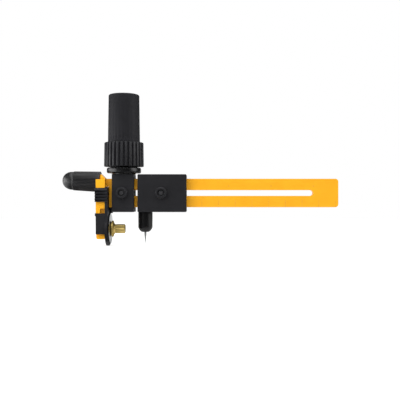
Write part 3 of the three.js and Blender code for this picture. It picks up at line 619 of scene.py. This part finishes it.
# Each node with its material and the rounding of its edges in millimetres
FASTENER_ROUNDING = 0.12
THIN_ROUNDING = 0.08
SPRING_ROUNDING = 0.04
DRESSED = (
    ("needle_block", BLACK, 0.22),
    ("handle_block", BLACK, 0.18),
    ("blade_guard", BLACK, 0.16),
    ("clamp_knob", BLACK, 0.25),
    ("clamp_nut", STEEL, FASTENER_ROUNDING),
    ("handle_block_nut", STEEL, FASTENER_ROUNDING),
    ("clamp_washer", STEEL, THIN_ROUNDING),
    ("holder_stud", STEEL, FASTENER_ROUNDING),
    ("spindle_bolt", STEEL, FASTENER_ROUNDING),
    ("ratchet_wheel", STEEL, 0.06),
    ("spindle_washer", STEEL, THIN_ROUNDING),
    ("spindle_nut", STEEL, FASTENER_ROUNDING),
    ("pawl_a", STEEL, THIN_ROUNDING),
    ("pawl_b", STEEL, THIN_ROUNDING),
    ("pawl_a_spring", STEEL, SPRING_ROUNDING),
    ("pawl_b_spring", STEEL, SPRING_ROUNDING),
    ("blade_nut", STEEL, FASTENER_ROUNDING),
)
dress("arm", AMBER, 0.16, join_flats=False)
for dressed_name, dressed_material, dressed_rounding in DRESSED:
    dress(dressed_name, dressed_material, dressed_rounding)


# Needle, with a fine point (radius, height). The ease is how far in and how far down from the
# top of its taper the rounding starts
NEEDLE_POINT = (0.04, 0.12)
NEEDLE_TAPER_TOP = 5.5
NEEDLE_EASE = (0.02, 0.3)
NEEDLE_SHARP = 50


def make_needle():
    high = node_box("needle")[1]
    radius = high[X]
    ease_in, ease_down = NEEDLE_EASE
    line = [
        (0, 0),
        NEEDLE_POINT,
        (radius - ease_in, NEEDLE_TAPER_TOP - ease_down),
        (radius, NEEDLE_TAPER_TOP),
        (radius, high[Z]),
        (0, high[Z]),
    ]
    piece(
        "needle",
        [skin(turn(line, ROD_POINTS))],
        NEEDLE_STEEL,
        "needle_block",
        sharp=NEEDLE_SHARP,
        stands_for=["needle"],
    )


# Needle holder, with a bore for the needle below and one for its stud above. The nose gives
# radius and height over the lower end
BORE_CLEARANCE = 0.05
BORE_CHAMFER = (0.25, 0.30)
HOLDER_NOSE = ((2.10, 0.0), (3.20, 0.84), (4.04, 2.02))
HOLDER_NOSE_HEIGHT = 2.80
STUD_BORE = 1.62
STUD_BORE_DEPTH = 7.0
HOLDER_ROUNDING = 0.45
HOLDER_ROUNDING_STEPS = 5


def make_needle_holder():
    low, high = node_box("needle_holder")
    needle_top = node_box("needle")[1]
    bore = needle_top[X] + BORE_CLEARANCE
    bore_top = needle_top[Z] + BORE_CLEARANCE
    stud_floor = high[Z] - STUD_BORE_DEPTH
    chamfer_out, chamfer_up = BORE_CHAMFER
    line = [
        (bore, bore_top),
        (bore, low[Z] + chamfer_up),
        (bore + chamfer_out, low[Z]),
        *((radius, low[Z] + rise) for radius, rise in HOLDER_NOSE),
        (high[X], low[Z] + HOLDER_NOSE_HEIGHT),
        (high[X], high[Z]),
        (STUD_BORE, high[Z]),
        (STUD_BORE, stud_floor),
        (0, stud_floor),
    ]
    profile = [(0, bore_top), *soften(line, HOLDER_ROUNDING, HOLDER_ROUNDING_STEPS)]
    piece(
        "needle_holder",
        [skin(turn(profile, HOLDER_POINTS))],
        HOLDER_BLACK,
        "needle_block",
        stands_for=["needle_holder"],
    )


# Bearing flange under the collar. The foot and the step are (radius, height of their top)
FLANGE_BORE = 2.12
FLANGE_FOOT = (7.2, 0.75)
FLANGE_RIM_TOP = 4.00
FLANGE_STEP = (8.00, 4.55)
FLANGE_NECK = 4.8
FLANGE_ROUNDING = 0.9
FLANGE_ROUNDING_STEPS = 6


def make_bearing_flange():
    low, high = node_box("bearing_flange")
    rim = high[Y]
    height = high[Z] - low[Z]
    foot, foot_top = FLANGE_FOOT
    step, step_top = FLANGE_STEP
    line = [
        (FLANGE_BORE, 0),
        (foot, 0),
        (foot, foot_top),
        (rim, foot_top),
        (rim, FLANGE_RIM_TOP),
        (step, FLANGE_RIM_TOP),
        (step, step_top),
        (FLANGE_NECK, step_top),
        (FLANGE_NECK, height),
        (FLANGE_BORE, height),
    ]
    profile = soften(line, FLANGE_ROUNDING, FLANGE_ROUNDING_STEPS)
    piece(
        "bearing_flange",
        [skin(turn(profile, DISC_POINTS), loop=True)],
        GLOSS,
        "arm",
        moved=(HANDLE_X, 0, low[Z]),
        stands_for=["bearing_flange"],
    )


# Collar with its ribs. GROOVE is half of the groove between two ribs: how far from its middle,
# as a share of the ribs' spacing, and how high there, from 0 at the root to 1 at the land
RIBS = 28
GROOVE = ((0.07, 0.03), (0.14, 0.18), (0.19, 0.55), (0.22, 0.84), (0.27, 0.96), (0.35, 1.0))
RIB_LINE = [(-share, rise) for share, rise in reversed(GROOVE)] + [(0, 0), *GROOVE]
COLLAR_LAND = 11.88
COLLAR_ROOT = 10.60
COLLAR_TAPER = 0.18
COLLAR_HOLE = 4.95
COLLAR_FLOOR = 1.7
COLLAR_WALL = 9.2
COLLAR_WALL_EASE = 0.1
COLLAR_LIP = 10.55

# How far in the land and the root lie near the foot and the top, and how far that is from the end
COLLAR_FOOT_EASE = ((0.33, 0, 0), (0.10, 0, 0.12), (0, 0, 0.38))
COLLAR_TOP_EASE = ((0, 0, 0.60), (0.15, 0.02, 0.22), (0.50, 0.02, 0.04))

# Posts of the two pawls in the collar
POST_RADIUS = 0.7
POST_EASE = 0.1
POST_TOP = 5.05
POST_CIRCLE = 7.8
POST_ANGLE = math.radians(30)


def rib_ring(land, root, height):
    """One ring of the collar, whose lands and roots have these radii. A land faces the front."""
    points = []
    for rib in range(RIBS):
        for share, rise in RIB_LINE:
            angle = 2 * math.pi * (rib + share + 0.5) / RIBS - math.pi / 2
            points.append(polar(root + (land - root) * rise, angle, height))
    return points


def collar_shell(height):
    rings = [rib_ring(COLLAR_HOLE, COLLAR_HOLE, 0), rib_ring(COLLAR_ROOT, COLLAR_ROOT, 0)]
    for land_in, root_in, up in COLLAR_FOOT_EASE:
        rings.append(rib_ring(COLLAR_LAND - land_in, COLLAR_ROOT - root_in, up))
    for land_in, root_in, down in COLLAR_TOP_EASE:
        land = COLLAR_LAND - COLLAR_TAPER - land_in
        root = COLLAR_ROOT - COLLAR_TAPER - root_in
        rings.append(rib_ring(land, root, height - down))
    inside = (
        (COLLAR_LIP, height),
        (COLLAR_WALL + COLLAR_WALL_EASE, height),
        (COLLAR_WALL, height - COLLAR_WALL_EASE),
        (COLLAR_WALL, COLLAR_FLOOR),
        (COLLAR_HOLE, COLLAR_FLOOR),
    )
    rings += [rib_ring(radius, radius, level) for radius, level in inside]
    return skin(rings, loop=True)


def pawl_post(angle):
    foot = COLLAR_FLOOR - POST_EASE
    line = [
        (0, foot),
        (POST_RADIUS, foot),
        (POST_RADIUS, POST_TOP - POST_EASE),
        (POST_RADIUS - POST_EASE, POST_TOP),
        (0, POST_TOP),
    ]
    place = Matrix.Translation(polar(POST_CIRCLE, angle, 0))
    return moved_skin(skin(turn(line, PIN_POINTS)), place)


def make_collar():
    low, high = node_box("collar")
    posts = [pawl_post(POST_ANGLE), pawl_post(POST_ANGLE + math.pi)]
    piece(
        "collar",
        [collar_shell(high[Z] - low[Z]), *posts],
        COLLAR_BLACK,
        "handle",
        moved=(HANDLE_X, 0, low[Z]),
        stands_for=["collar"],
    )


# Grip with shallow flutes that deepen towards a scalloped foot, on a spigot in the collar.
# Heights are over the foot
FLUTES = 28
GRIP_POINTS = FLUTES * 8
GRIP_RADIUS = node_box("grip")[1][Y]
GRIP_TAPER = 0.4
GRIP_SIDE_HEIGHT = 27.45
GRIP_SPIGOT = 9.08
GRIP_SPIGOT_DEPTH = 9.2
GRIP_SPIGOT_EASE = (0.08, 0.1)
GRIP_FOOT_EASE = ((0.15, 0.0), (0.02, 0.12))
GRIP_FOOT_TOP = 0.5
FLUTE_POWER = 1.4

# Height over the foot, and depth of the flutes there
FLUTE_DEPTHS = (
    (0.85, 0.0),
    (1.1, 0.10),
    (1.4, 0.20),
    (1.9, 0.27),
    (2.6, 0.27),
    (3.2, 0.18),
    (3.6, 0.10),
    (4.2, 0.08),
    (6.0, 0.08),
    (10.0, 0.07),
    (15.0, 0.055),
    (20.0, 0.045),
    (24.0, 0.035),
    (26.5, 0.02),
    (27.3, 0.0),
)

# Rounded corner and slightly domed top of the grip
GRIP_CORNER = 0.9
GRIP_CORNER_STEPS = 8
GRIP_TOP_RADIUS = 8.3
GRIP_TOP_RISE = 0.38
GRIP_TOP_STEPS = 6


def flute(depth):
    """The change of radius round the grip for flutes of a depth in millimetres."""
    return lambda share: -depth * (0.5 - 0.5 * math.cos(2 * math.pi * FLUTES * share)) ** FLUTE_POWER


def grip_side(height):
    """Radius of the grip at a height over its foot."""
    return GRIP_RADIUS - GRIP_TAPER * height / GRIP_SIDE_HEIGHT


def grip_foot():
    ease_in, ease_up = GRIP_SPIGOT_EASE
    line = [
        (0, -GRIP_SPIGOT_DEPTH),
        (GRIP_SPIGOT - ease_in, -GRIP_SPIGOT_DEPTH),
        (GRIP_SPIGOT, -GRIP_SPIGOT_DEPTH + ease_up),
        (GRIP_SPIGOT, 0),
        *((GRIP_RADIUS - inward, up) for inward, up in GRIP_FOOT_EASE),
        (grip_side(GRIP_FOOT_TOP), GRIP_FOOT_TOP),
    ]
    return turn(line, GRIP_POINTS)


def grip_crown(height):
    """The rounded corner and the slightly domed top."""
    line = []
    for step in range(GRIP_CORNER_STEPS + 1):
        angle = math.pi / 2 * step / GRIP_CORNER_STEPS
        radius = GRIP_TOP_RADIUS + GRIP_CORNER * math.cos(angle)
        line.append((radius, height - GRIP_TOP_RISE - GRIP_CORNER * (1 - math.sin(angle))))
    for step in reversed(range(GRIP_TOP_STEPS)):
        share = step / GRIP_TOP_STEPS
        line.append((GRIP_TOP_RADIUS * share, height - GRIP_TOP_RISE * share**2))
    return turn(line, GRIP_POINTS)


def make_grip():
    low, high = node_box("grip")
    foot = low[Z] + GRIP_SPIGOT_DEPTH
    sides = [
        ring(grip_side(height), height, GRIP_POINTS, flute(depth)) for height, depth in FLUTE_DEPTHS
    ]
    piece(
        "grip",
        [skin(grip_foot() + sides + grip_crown(high[Z] - foot))],
        GRIP_BLACK,
        "handle",
        moved=(HANDLE_X, 0, foot),
        stands_for=["grip"],
    )


# Needle cap: fine ribs, a small ledge and a smooth dome, parked on the arm's tilted spigot.
# Heights are along the cap from its mouth, and the gap is between that and CAP_PLACE
CAP_RIBS = 40
CAP_POINTS = CAP_RIBS * 6
CAP_RADIUS = 6.2
CAP_TAPER = 0.5
CAP_DOME_START = 16.9
CAP_RIB_POWER = 4
CAP_RIB_START = 0.4
CAP_RIB_START_DEPTH = 0.10
CAP_RIB_DEPTH = 0.38
CAP_RIB_HEIGHTS = (0.8, 4.0, 8.0, 12.0, 15.7)
CAP_RIB_END = (5.72, 15.9)
CAP_RIB_END_DEPTH = 0.12
CAP_MOUTH = 4.35
CAP_MOUTH_DEPTH = 13.5
CAP_HOLE = 2.6
CAP_HOLE_END = 20.0
CAP_LIP = ((5.85, 0.0), (6.1, 0.12))
CAP_LEDGE = ((5.70, 16.04), (5.65, 16.11), (5.49, 16.30), (5.43, 16.37))
CAP_DOME_RADIUS = 5.42
CAP_DOME_HEIGHT = 5.94
CAP_DOME_STEPS = 24
CAP_DOME_POWER = 0.88
CAP_TILT = 2.2
CAP_GAP = 0.2
CAP_PLACE = (-26.75, 0, 37.15)


def cap_rib(depth):
    return lambda share: -depth * abs(math.cos(math.pi * CAP_RIBS * share)) ** CAP_RIB_POWER


def cap_dome():
    line = []
    for step in range(1, CAP_DOME_STEPS):
        angle = math.pi / 2 * step / CAP_DOME_STEPS
        radius = CAP_DOME_RADIUS * math.cos(angle) ** CAP_DOME_POWER
        line.append((radius, CAP_DOME_START + CAP_DOME_HEIGHT * math.sin(angle)))
    line.append((0, CAP_DOME_START + CAP_DOME_HEIGHT))
    return turn(line, CAP_POINTS)


def make_needle_cap():
    bore = [
        (0, CAP_HOLE_END),
        (CAP_HOLE, CAP_HOLE_END),
        (CAP_HOLE, CAP_MOUTH_DEPTH),
        (CAP_MOUTH, CAP_MOUTH_DEPTH),
        (CAP_MOUTH, 0),
    ]
    rings = turn([*bore, *CAP_LIP], CAP_POINTS)
    rings.append(ring(CAP_RADIUS, CAP_RIB_START, CAP_POINTS, cap_rib(CAP_RIB_START_DEPTH)))
    for height in CAP_RIB_HEIGHTS:
        radius = CAP_RADIUS - CAP_TAPER * height / CAP_DOME_START
        rings.append(ring(radius, height, CAP_POINTS, cap_rib(CAP_RIB_DEPTH)))
    rings.append(ring(*CAP_RIB_END, CAP_POINTS, cap_rib(CAP_RIB_END_DEPTH)))
    rings += turn(CAP_LEDGE, CAP_POINTS)
    rings += cap_dome()
    tilt = Matrix.Rotation(math.radians(CAP_TILT), 4, "Y")
    piece(
        "needle_cap",
        [skin(rings)],
        CAP_PLASTIC,
        "needle_cap",
        turned=tilt @ Matrix.Translation((-CAP_GAP, 0, 0)) @ AGAINST_X,
        moved=CAP_PLACE,
        stands_for=["needle_cap"],
    )


# Blade. The bevel gives how far in from the edge, and half the thickness there
BLADE_HOLE = 3.0
BLADE_BEVEL = ((1.14, 0.15), (1.08, 0.145), (0.28, 0.062), (0.02, 0.012))
BLADE_SHARP = 5


def make_blade():
    low, high = node_box("blade")
    radius = (high[Z] - low[Z]) / 2
    half = (high[X] - low[X]) / 2
    side = [(BLADE_HOLE, half), *((radius - inward, thick) for inward, thick in BLADE_BEVEL)]
    near = [(reach, -thick) for reach, thick in side]
    line = [*near, (radius, 0), *reversed(side)]
    piece(
        "blade",
        [skin(turn(line, DISC_POINTS), loop=True)],
        BLADE,
        "blade",
        turned=ALONG_X,
        moved=(BLADE_X, 0, BLADE_LEVEL),
        sharp=BLADE_SHARP,
        stands_for=["blade"],
    )


# Blade screw: shank, hub in the blade, flange, flared neck and knurled head. Heights are along
# +X from the middle of the blade
KNURLS = 16
KNURL_POINTS = KNURLS * 6
BLADE_SCREW_SHARP = 28
SHANK_RADIUS = 1.9
SHANK_CHAMFER = 0.2
HUB_RADIUS = BLADE_HOLE - 0.1
HUB_START = -0.25
FLANGE_FACE = 0.225
SCREW_FLANGE = ((3.9, FLANGE_FACE), (4.75, 0.75), (4.85, 0.90), (4.85, 1.47), (4.72, 1.61))
SCREW_NECK = ((4.10, 1.69), (3.52, 1.92), (3.06, 2.28), (2.74, 2.68), (2.56, 2.95))

# Radius, height and depth of the knurls from one end of the head to the other
SCREW_KNURLS = ((2.62, 3.1, 0.10), (2.74, 3.35, 0.2), (2.74, 8.20, 0.2), (2.56, 8.50, 0.12))
SCREW_END = ((2.32, 8.66), (1.30, 8.68), (1.10, 8.54), (0, 8.52))


def knurl(depth):
    return lambda share: -depth * abs(2 * ((KNURLS * share + 0.5) % 1) - 1)


def make_blade_screw():
    tip = node_box("blade_screw")[0][X] - BLADE_X
    shank = [
        (0, tip),
        (SHANK_RADIUS - SHANK_CHAMFER, tip),
        (SHANK_RADIUS, tip + SHANK_CHAMFER),
        (SHANK_RADIUS, HUB_START),
        (HUB_RADIUS, HUB_START),
        (HUB_RADIUS, FLANGE_FACE),
    ]
    rings = turn([*shank, *SCREW_FLANGE, *SCREW_NECK], KNURL_POINTS)
    for radius, height, depth in SCREW_KNURLS:
        rings.append(ring(radius, height, KNURL_POINTS, knurl(depth)))
    rings += turn(SCREW_END, KNURL_POINTS)
    piece(
        "blade_screw",
        [skin(rings)],
        BRASS,
        "blade_screw",
        turned=ALONG_X,
        moved=(BLADE_X, 0, BLADE_LEVEL),
        sharp=BLADE_SCREW_SHARP,
        stands_for=["blade_screw"],
    )


# Screws along Y: a threaded shank with a chamfered tip, and a head of either kind
THREAD_RADIUS = 1.5
THREAD_PITCH = 0.5
THREAD_ROOT_SHARE = 0.86
THREAD_START = 0.35
THREAD_RUNOUT = 0.6
THREAD_CREST = (0.4, 0.6)
TIP_SHARE = 0.80
TIP_CHAMFER_SHARE = 0.94
TIP_CHAMFER = 0.18
SCREW_SHARP = 24

# Hexagon head of the clamp screw. The crown is (radius, how far below the top)
HEAD_FLATS = 5.48
HEAD_FLATS_BELOW = 5.1
HEAD_START = 9.75
HEAD_EASE = 0.15
HEAD_CROWN_HEIGHT = 0.30
HEAD_SIDES = 6
HEAD_CROWN = ((2.62, 0.03), (2.2, 0.0), (0, 0.0))

# Pan head of the handle block screw (radius, how far above its start), and its cross recess
PAN_START = 6.55
PAN_LINE = ((2.9, 0), (3.0, 0.15), (3.0, 0.75), (2.9, 1.15), (2.6, 1.55), (2.1, 1.78), (1.4, 1.89))
RECESS_REACH = 1.7
RECESS_WIDTH = 0.75
RECESS_FLOOR = 7.3
RECESS_TOP = 8.7
RECESS_FLOOR_SHARE = 0.45
RECESS_TOP_SHARE = 1.15


def many_sided(flats, height, sides, count):
    """A ring that follows a polygon's sides, flats millimetres across."""
    points = []
    for step in range(count):
        angle = 2 * math.pi * step / count
        inside = (angle % (2 * math.pi / sides)) - math.pi / sides
        points.append(polar(flats / 2 / math.cos(inside), angle, height))
    return points


def thread_rings(tip, root):
    """Rings from the tip inwards to the root, as a fine run of crests and roots."""
    line = [(0, tip), (THREAD_RADIUS * TIP_SHARE, tip)]
    line.append((THREAD_RADIUS * TIP_CHAMFER_SHARE, tip + TIP_CHAMFER))
    for turn_index in range(int((root - tip - THREAD_RUNOUT) / THREAD_PITCH)):
        level = tip + THREAD_START + turn_index * THREAD_PITCH
        line.append((THREAD_RADIUS * THREAD_ROOT_SHARE, level))
        for share in THREAD_CREST:
            line.append((THREAD_RADIUS, level + THREAD_PITCH * share))
    line.append((THREAD_RADIUS * THREAD_ROOT_SHARE, root))
    return turn(line, ROD_POINTS)


def screw_along_y(name, rings, body):
    return piece(
        name,
        [skin(rings)],
        DARK_STEEL,
        body,
        turned=ALONG_Y,
        moved=(middle(name, X), 0, ARM_CENTRE),
        sharp=SCREW_SHARP,
        stands_for=[name],
    )


def carve_out(target, mesh):
    """Takes a closed mesh out of the target's own mesh."""
    tool = add_object("recess", mesh)
    carve = target.modifiers.new("recess", "BOOLEAN")
    carve.operation = "DIFFERENCE"
    carve.object = tool
    carve.solver = "EXACT"
    graph = bpy.context.evaluated_depsgraph_get()
    result = bpy.data.meshes.new_from_object(target.evaluated_get(graph))
    target.modifiers.clear()
    target.data = result
    bpy.data.objects.remove(tool)


def cut_recess(target, centre_x):
    """Cuts a tapered cross recess into the head of a screw that lies along Y."""
    for along_x in (True, False):
        rows = []
        for level, share in ((RECESS_FLOOR, RECESS_FLOOR_SHARE), (RECESS_TOP, RECESS_TOP_SHARE)):
            half_long = RECESS_REACH * share
            half_wide = RECESS_WIDTH * (0.5 + 0.5 * share) / 2
            reach_x, reach_z = (half_long, half_wide) if along_x else (half_wide, half_long)
            rows.append(
                [
                    Vector((centre_x + side_x * reach_x, level, ARM_CENTRE + side_z * reach_z))
                    for side_x, side_z in ((-1, -1), (1, -1), (1, 1), (-1, 1))
                ]
            )
        carve_out(target, closed_mesh("recess", *skin(rows)))
    shade(target.data, SCREW_SHARP)


def make_clamp_screw():
    low, high = node_box("clamp_screw")
    rings = thread_rings(low[Y], HEAD_START)
    hexagons = (
        (HEAD_FLATS_BELOW, HEAD_START),
        (HEAD_FLATS, HEAD_START + HEAD_EASE),
        (HEAD_FLATS, high[Y] - HEAD_CROWN_HEIGHT),
    )
    rings += [many_sided(flats, height, HEAD_SIDES, ROD_POINTS) for flats, height in hexagons]
    rings += turn([(radius, high[Y] - down) for radius, down in HEAD_CROWN], ROD_POINTS)
    screw_along_y("clamp_screw", rings, "clamp_knob")


def make_handle_block_screw():
    low, high = node_box("handle_block_screw")
    rings = thread_rings(low[Y], PAN_START)
    head = [(radius, PAN_START + rise) for radius, rise in PAN_LINE]
    rings += turn([*head, (0, high[Y])], ROD_POINTS)
    made = screw_along_y("handle_block_screw", rings, "arm")
    cut_recess(made, middle("handle_block_screw", X))


# Paint in the marks of the arm: lines every centimetre and a row of dots an inch apart
PAINT_FRONT = -1.78
PAINT_BACK = -1.66
MARK_COUNT = 9
FIRST_MARK_X = 34.0
MARK_STEP = 10.0
MARK_WIDTH = 0.28
MARK_BOTTOM = 22.0
MARK_TOP = 26.1
DOT_COUNT = 3
FIRST_DOT_X = 50.0
DOT_STEP = 25.4
DOT_LEVEL = 34.65
DOT_RADIUS = 0.43


def mark_line(centre_x):
    left = centre_x - MARK_WIDTH / 2
    right = centre_x + MARK_WIDTH / 2
    corners = ((left, MARK_BOTTOM), (right, MARK_BOTTOM), (right, MARK_TOP), (left, MARK_TOP))
    return skin([[Vector((x, y, z)) for x, z in corners] for y in (PAINT_FRONT, PAINT_BACK)])


def mark_dot(centre_x):
    line = [(0, PAINT_FRONT), (DOT_RADIUS, PAINT_FRONT), (DOT_RADIUS, PAINT_BACK), (0, PAINT_BACK)]
    place = Matrix.Translation((centre_x, 0, DOT_LEVEL)) @ ALONG_Y
    return moved_skin(skin(turn(line, PIN_POINTS)), place)


def make_arm_marks():
    lines = [mark_line(FIRST_MARK_X + MARK_STEP * index) for index in range(MARK_COUNT)]
    dots = [mark_dot(FIRST_DOT_X + DOT_STEP * index) for index in range(DOT_COUNT)]
    piece("arm_marks", lines + dots, MARK_PAINT, "arm")


make_needle()
make_needle_holder()
make_bearing_flange()
make_collar()
make_grip()
make_needle_cap()
make_blade()
make_blade_screw()
make_clamp_screw()
make_handle_block_screw()
make_arm_marks()

# Floor under the guard, and the world. Both are white to the rays that show the background
BACKGROUND_RAYS = ("Is Camera Ray", "Is Glossy Ray", "Is Transmission Ray")
WHITE = (1, 1, 1, 1)
FLOOR_HALF = 6.0
FLOOR_LEVEL = -1.2 * MM
FLOOR_GREY = 0.45
SHADOW_GREY = 0.42
FLOOR_GLOW = 0.68
FLOOR_NEAR = 0.15
FLOOR_FAR = 0.6
WORLD_FRONT_LEVEL = 0.12
WORLD_REAR_LEVEL = 0.85
WORLD_FRONT_END = -0.9
WORLD_REAR_START = 0.2


def grey(level):
    return (level, level, level, 1)


def full_for_background(tree, value):
    """value, or 1 for a ray that shows the background."""
    path = tree.nodes.new("ShaderNodeLightPath")
    for ray in BACKGROUND_RAYS:
        larger = add_node(
            tree, "ShaderNodeMath", {0: value, 1: path.outputs[ray]}, operation="MAXIMUM"
        )
        value = larger.outputs["Value"]
    return value


def stage_material():
    """White in the picture but for the object's shadow, plain white far away, grey to other rays."""
    material = bpy.data.materials.new("floor")
    tree = empty_tree(material)
    output = tree.nodes.new("ShaderNodeOutputMaterial")
    plain = add_node(tree, "ShaderNodeBsdfDiffuse", {"Color": grey(FLOOR_GREY)})
    dim = add_node(tree, "ShaderNodeBsdfDiffuse", {"Color": grey(SHADOW_GREY)})
    glow = add_node(tree, "ShaderNodeEmission", {"Color": WHITE, "Strength": FLOOR_GLOW})
    both = tree.nodes.new("ShaderNodeAddShader")
    tree.links.new(dim.outputs["BSDF"], both.inputs[0])
    tree.links.new(glow.outputs["Emission"], both.inputs[1])
    place = tree.nodes.new("ShaderNodeTexCoord")
    far = add_node(tree, "ShaderNodeVectorMath", {0: place.outputs["Object"]}, operation="LENGTH")
    away = spread(tree, far.outputs["Value"], 0, 1, FLOOR_NEAR, FLOOR_FAR)
    white = add_node(tree, "ShaderNodeEmission", {"Color": WHITE, "Strength": 1})
    shown = mix_shader(tree, away, both.outputs["Shader"], white.outputs["Emission"])
    seen = full_for_background(tree, 0.0)
    mixed = mix_shader(tree, seen, plain.outputs["BSDF"], shown)
    tree.links.new(mixed, output.inputs["Surface"])
    return material


def flat_sheet(name, width, tall, level, material):
    """A rectangle round the origin, facing up."""
    mesh = bpy.data.meshes.new(name)
    corners = ((-1, -1), (1, -1), (1, 1), (-1, 1))
    points = [(x * width / 2, y * tall / 2, level) for x, y in corners]
    mesh.from_pydata(points, [], [(0, 1, 2, 3)])
    mesh.materials.append(material)
    return add_object(name, mesh)


flat_sheet("floor", 2 * FLOOR_HALF, 2 * FLOOR_HALF, FLOOR_LEVEL, stage_material())


def studio_world():
    """A soft studio, darker on the side of the camera."""
    world = bpy.data.worlds.new("studio")
    tree = empty_tree(world)
    output = tree.nodes.new("ShaderNodeOutputWorld")
    place = tree.nodes.new("ShaderNodeTexCoord")
    axes = add_node(tree, "ShaderNodeSeparateXYZ", {"Vector": place.outputs["Generated"]})
    level = add_node(
        tree,
        "ShaderNodeMapRange",
        {
            "Value": axes.outputs["Y"],
            "From Min": WORLD_FRONT_END,
            "From Max": WORLD_REAR_START,
            "To Min": WORLD_FRONT_LEVEL,
            "To Max": WORLD_REAR_LEVEL,
        },
        interpolation_type="SMOOTHSTEP",
    )
    strength = full_for_background(tree, level.outputs["Result"])
    glow = add_node(tree, "ShaderNodeBackground", {"Color": WHITE, "Strength": strength})
    tree.links.new(glow.outputs["Background"], output.inputs["Surface"])
    return world


scene.world = studio_world()

# Dark cards, in metres. The ones just over the floor darken what the object reflects of it
CARD_GREY = 0.10
BLADE_CARD_GREY = 0.5
CARD_LEVEL = -1.1 * MM
UP = (0, 0, 1)
DOWN = (0, 0, -1)
BACKWARDS = (0, 1, 0)
RIGHT = (1, 0, 0)
FORWARDS_RIGHT = (0.7, -0.7, 0)
FORWARDS_LEFT = (-0.7, -0.7, 0)


def dark_card(name, centre, width, tall, toward, level=CARD_GREY):
    """A dark studio card that only reflections see."""
    material = bpy.data.materials.new(name)
    tree = empty_tree(material)
    output = tree.nodes.new("ShaderNodeOutputMaterial")
    dull = add_node(tree, "ShaderNodeBsdfDiffuse", {"Color": grey(level)})
    tree.links.new(dull.outputs["BSDF"], output.inputs["Surface"])
    card = flat_sheet(name, width, tall, 0, material)
    card.location = centre
    card.rotation_euler = Vector(toward).to_track_quat("Z", "Y").to_euler()
    card.visible_camera = False
    card.visible_diffuse = False
    card.visible_transmission = False
    card.visible_shadow = False


def floor_card(name, x, y, width, tall, level=CARD_GREY):
    dark_card(name, (x, y, CARD_LEVEL), width, tall, UP, level)


dark_card("front_card", (0.02, -0.9, 0.35), width=2.4, tall=1.4, toward=BACKWARDS)
floor_card("floor_card", x=0.5715, y=-0.49, width=1.297, tall=0.92)
# Painted shade on the cap's underside, in what it reflects of the floor
floor_card("cap_floor_card", x=-0.0505, y=0.135, width=0.049, tall=0.33)
# Painted shadow of the floor beside the blade, in what the blade reflects
floor_card("blade_floor_card", x=-0.005, y=0.065, width=0.03, tall=0.11, level=BLADE_CARD_GREY)
# Painted shade on the arm's foot, in what it reflects of the floor
floor_card("foot_floor_card", x=-0.027, y=-0.018, width=0.018, tall=0.022)
# Painted shade on the top of the cap's dome: it hides the top light's reflection there
dark_card("dome_card", (-0.076, -0.015, 0.065), width=0.05, tall=0.09, toward=DOWN)
# Painted shade on the left side of the needle holder: it hides what that side reflects
dark_card("holder_card", (-0.0055, -0.005, 0.0127), width=0.0045, tall=0.0135, toward=RIGHT)
dark_card("left_rear_card", (-0.75, 0.75, 0.35), width=1.1, tall=1.4, toward=FORWARDS_RIGHT)
dark_card("right_rear_card", (0.85, 0.75, 0.35), width=1.1, tall=1.4, toward=FORWARDS_LEFT)

# Soft lights, aimed near the middle of the tool
AIM = Vector((0.02, 0, 0.04))


def softbox(name, side, height, distance, width, tall, radiance, seen=True):
    """A soft light. side is degrees to the left of the front, height degrees above level.
    seen is whether reflections show it."""
    turned = math.radians(side)
    raised = math.radians(height)
    away = Vector(
        (
            -math.sin(turned) * math.cos(raised),
            -math.cos(turned) * math.cos(raised),
            math.sin(raised),
        )
    )
    data = bpy.data.lights.new(name, "AREA")
    data.shape = "RECTANGLE"
    data.size = width
    data.size_y = tall
    data.energy = radiance * math.pi * width * tall
    lamp = add_object(name, data)
    lamp.location = AIM + away * distance
    lamp.rotation_euler = (-away).to_track_quat("-Z", "Y").to_euler()
    lamp.visible_camera = False
    lamp.visible_glossy = seen


softbox(
    "left_light",
    side=84,
    height=1,
    distance=0.22,
    width=0.26,
    tall=0.12,
    radiance=2.6,
)
softbox(
    "right_light",
    side=-77,
    height=18,
    distance=0.6,
    width=0.36,
    tall=0.42,
    radiance=2.4,
)
softbox(
    "top_light",
    side=10,
    height=66,
    distance=0.7,
    width=0.9,
    tall=0.85,
    radiance=1.7,
)
softbox(
    "front_light",
    side=42,
    height=22,
    distance=0.9,
    width=0.6,
    tall=0.5,
    radiance=2.74,
    seen=False,
)
softbox(
    "fill_light",
    side=-4,
    height=12,
    distance=1.0,
    width=0.8,
    tall=0.6,
    radiance=1.45,
    seen=False,
)
softbox(
    "rear_light",
    side=170,
    height=30,
    distance=0.9,
    width=0.9,
    tall=0.7,
    radiance=1.6,
    seen=False,
)
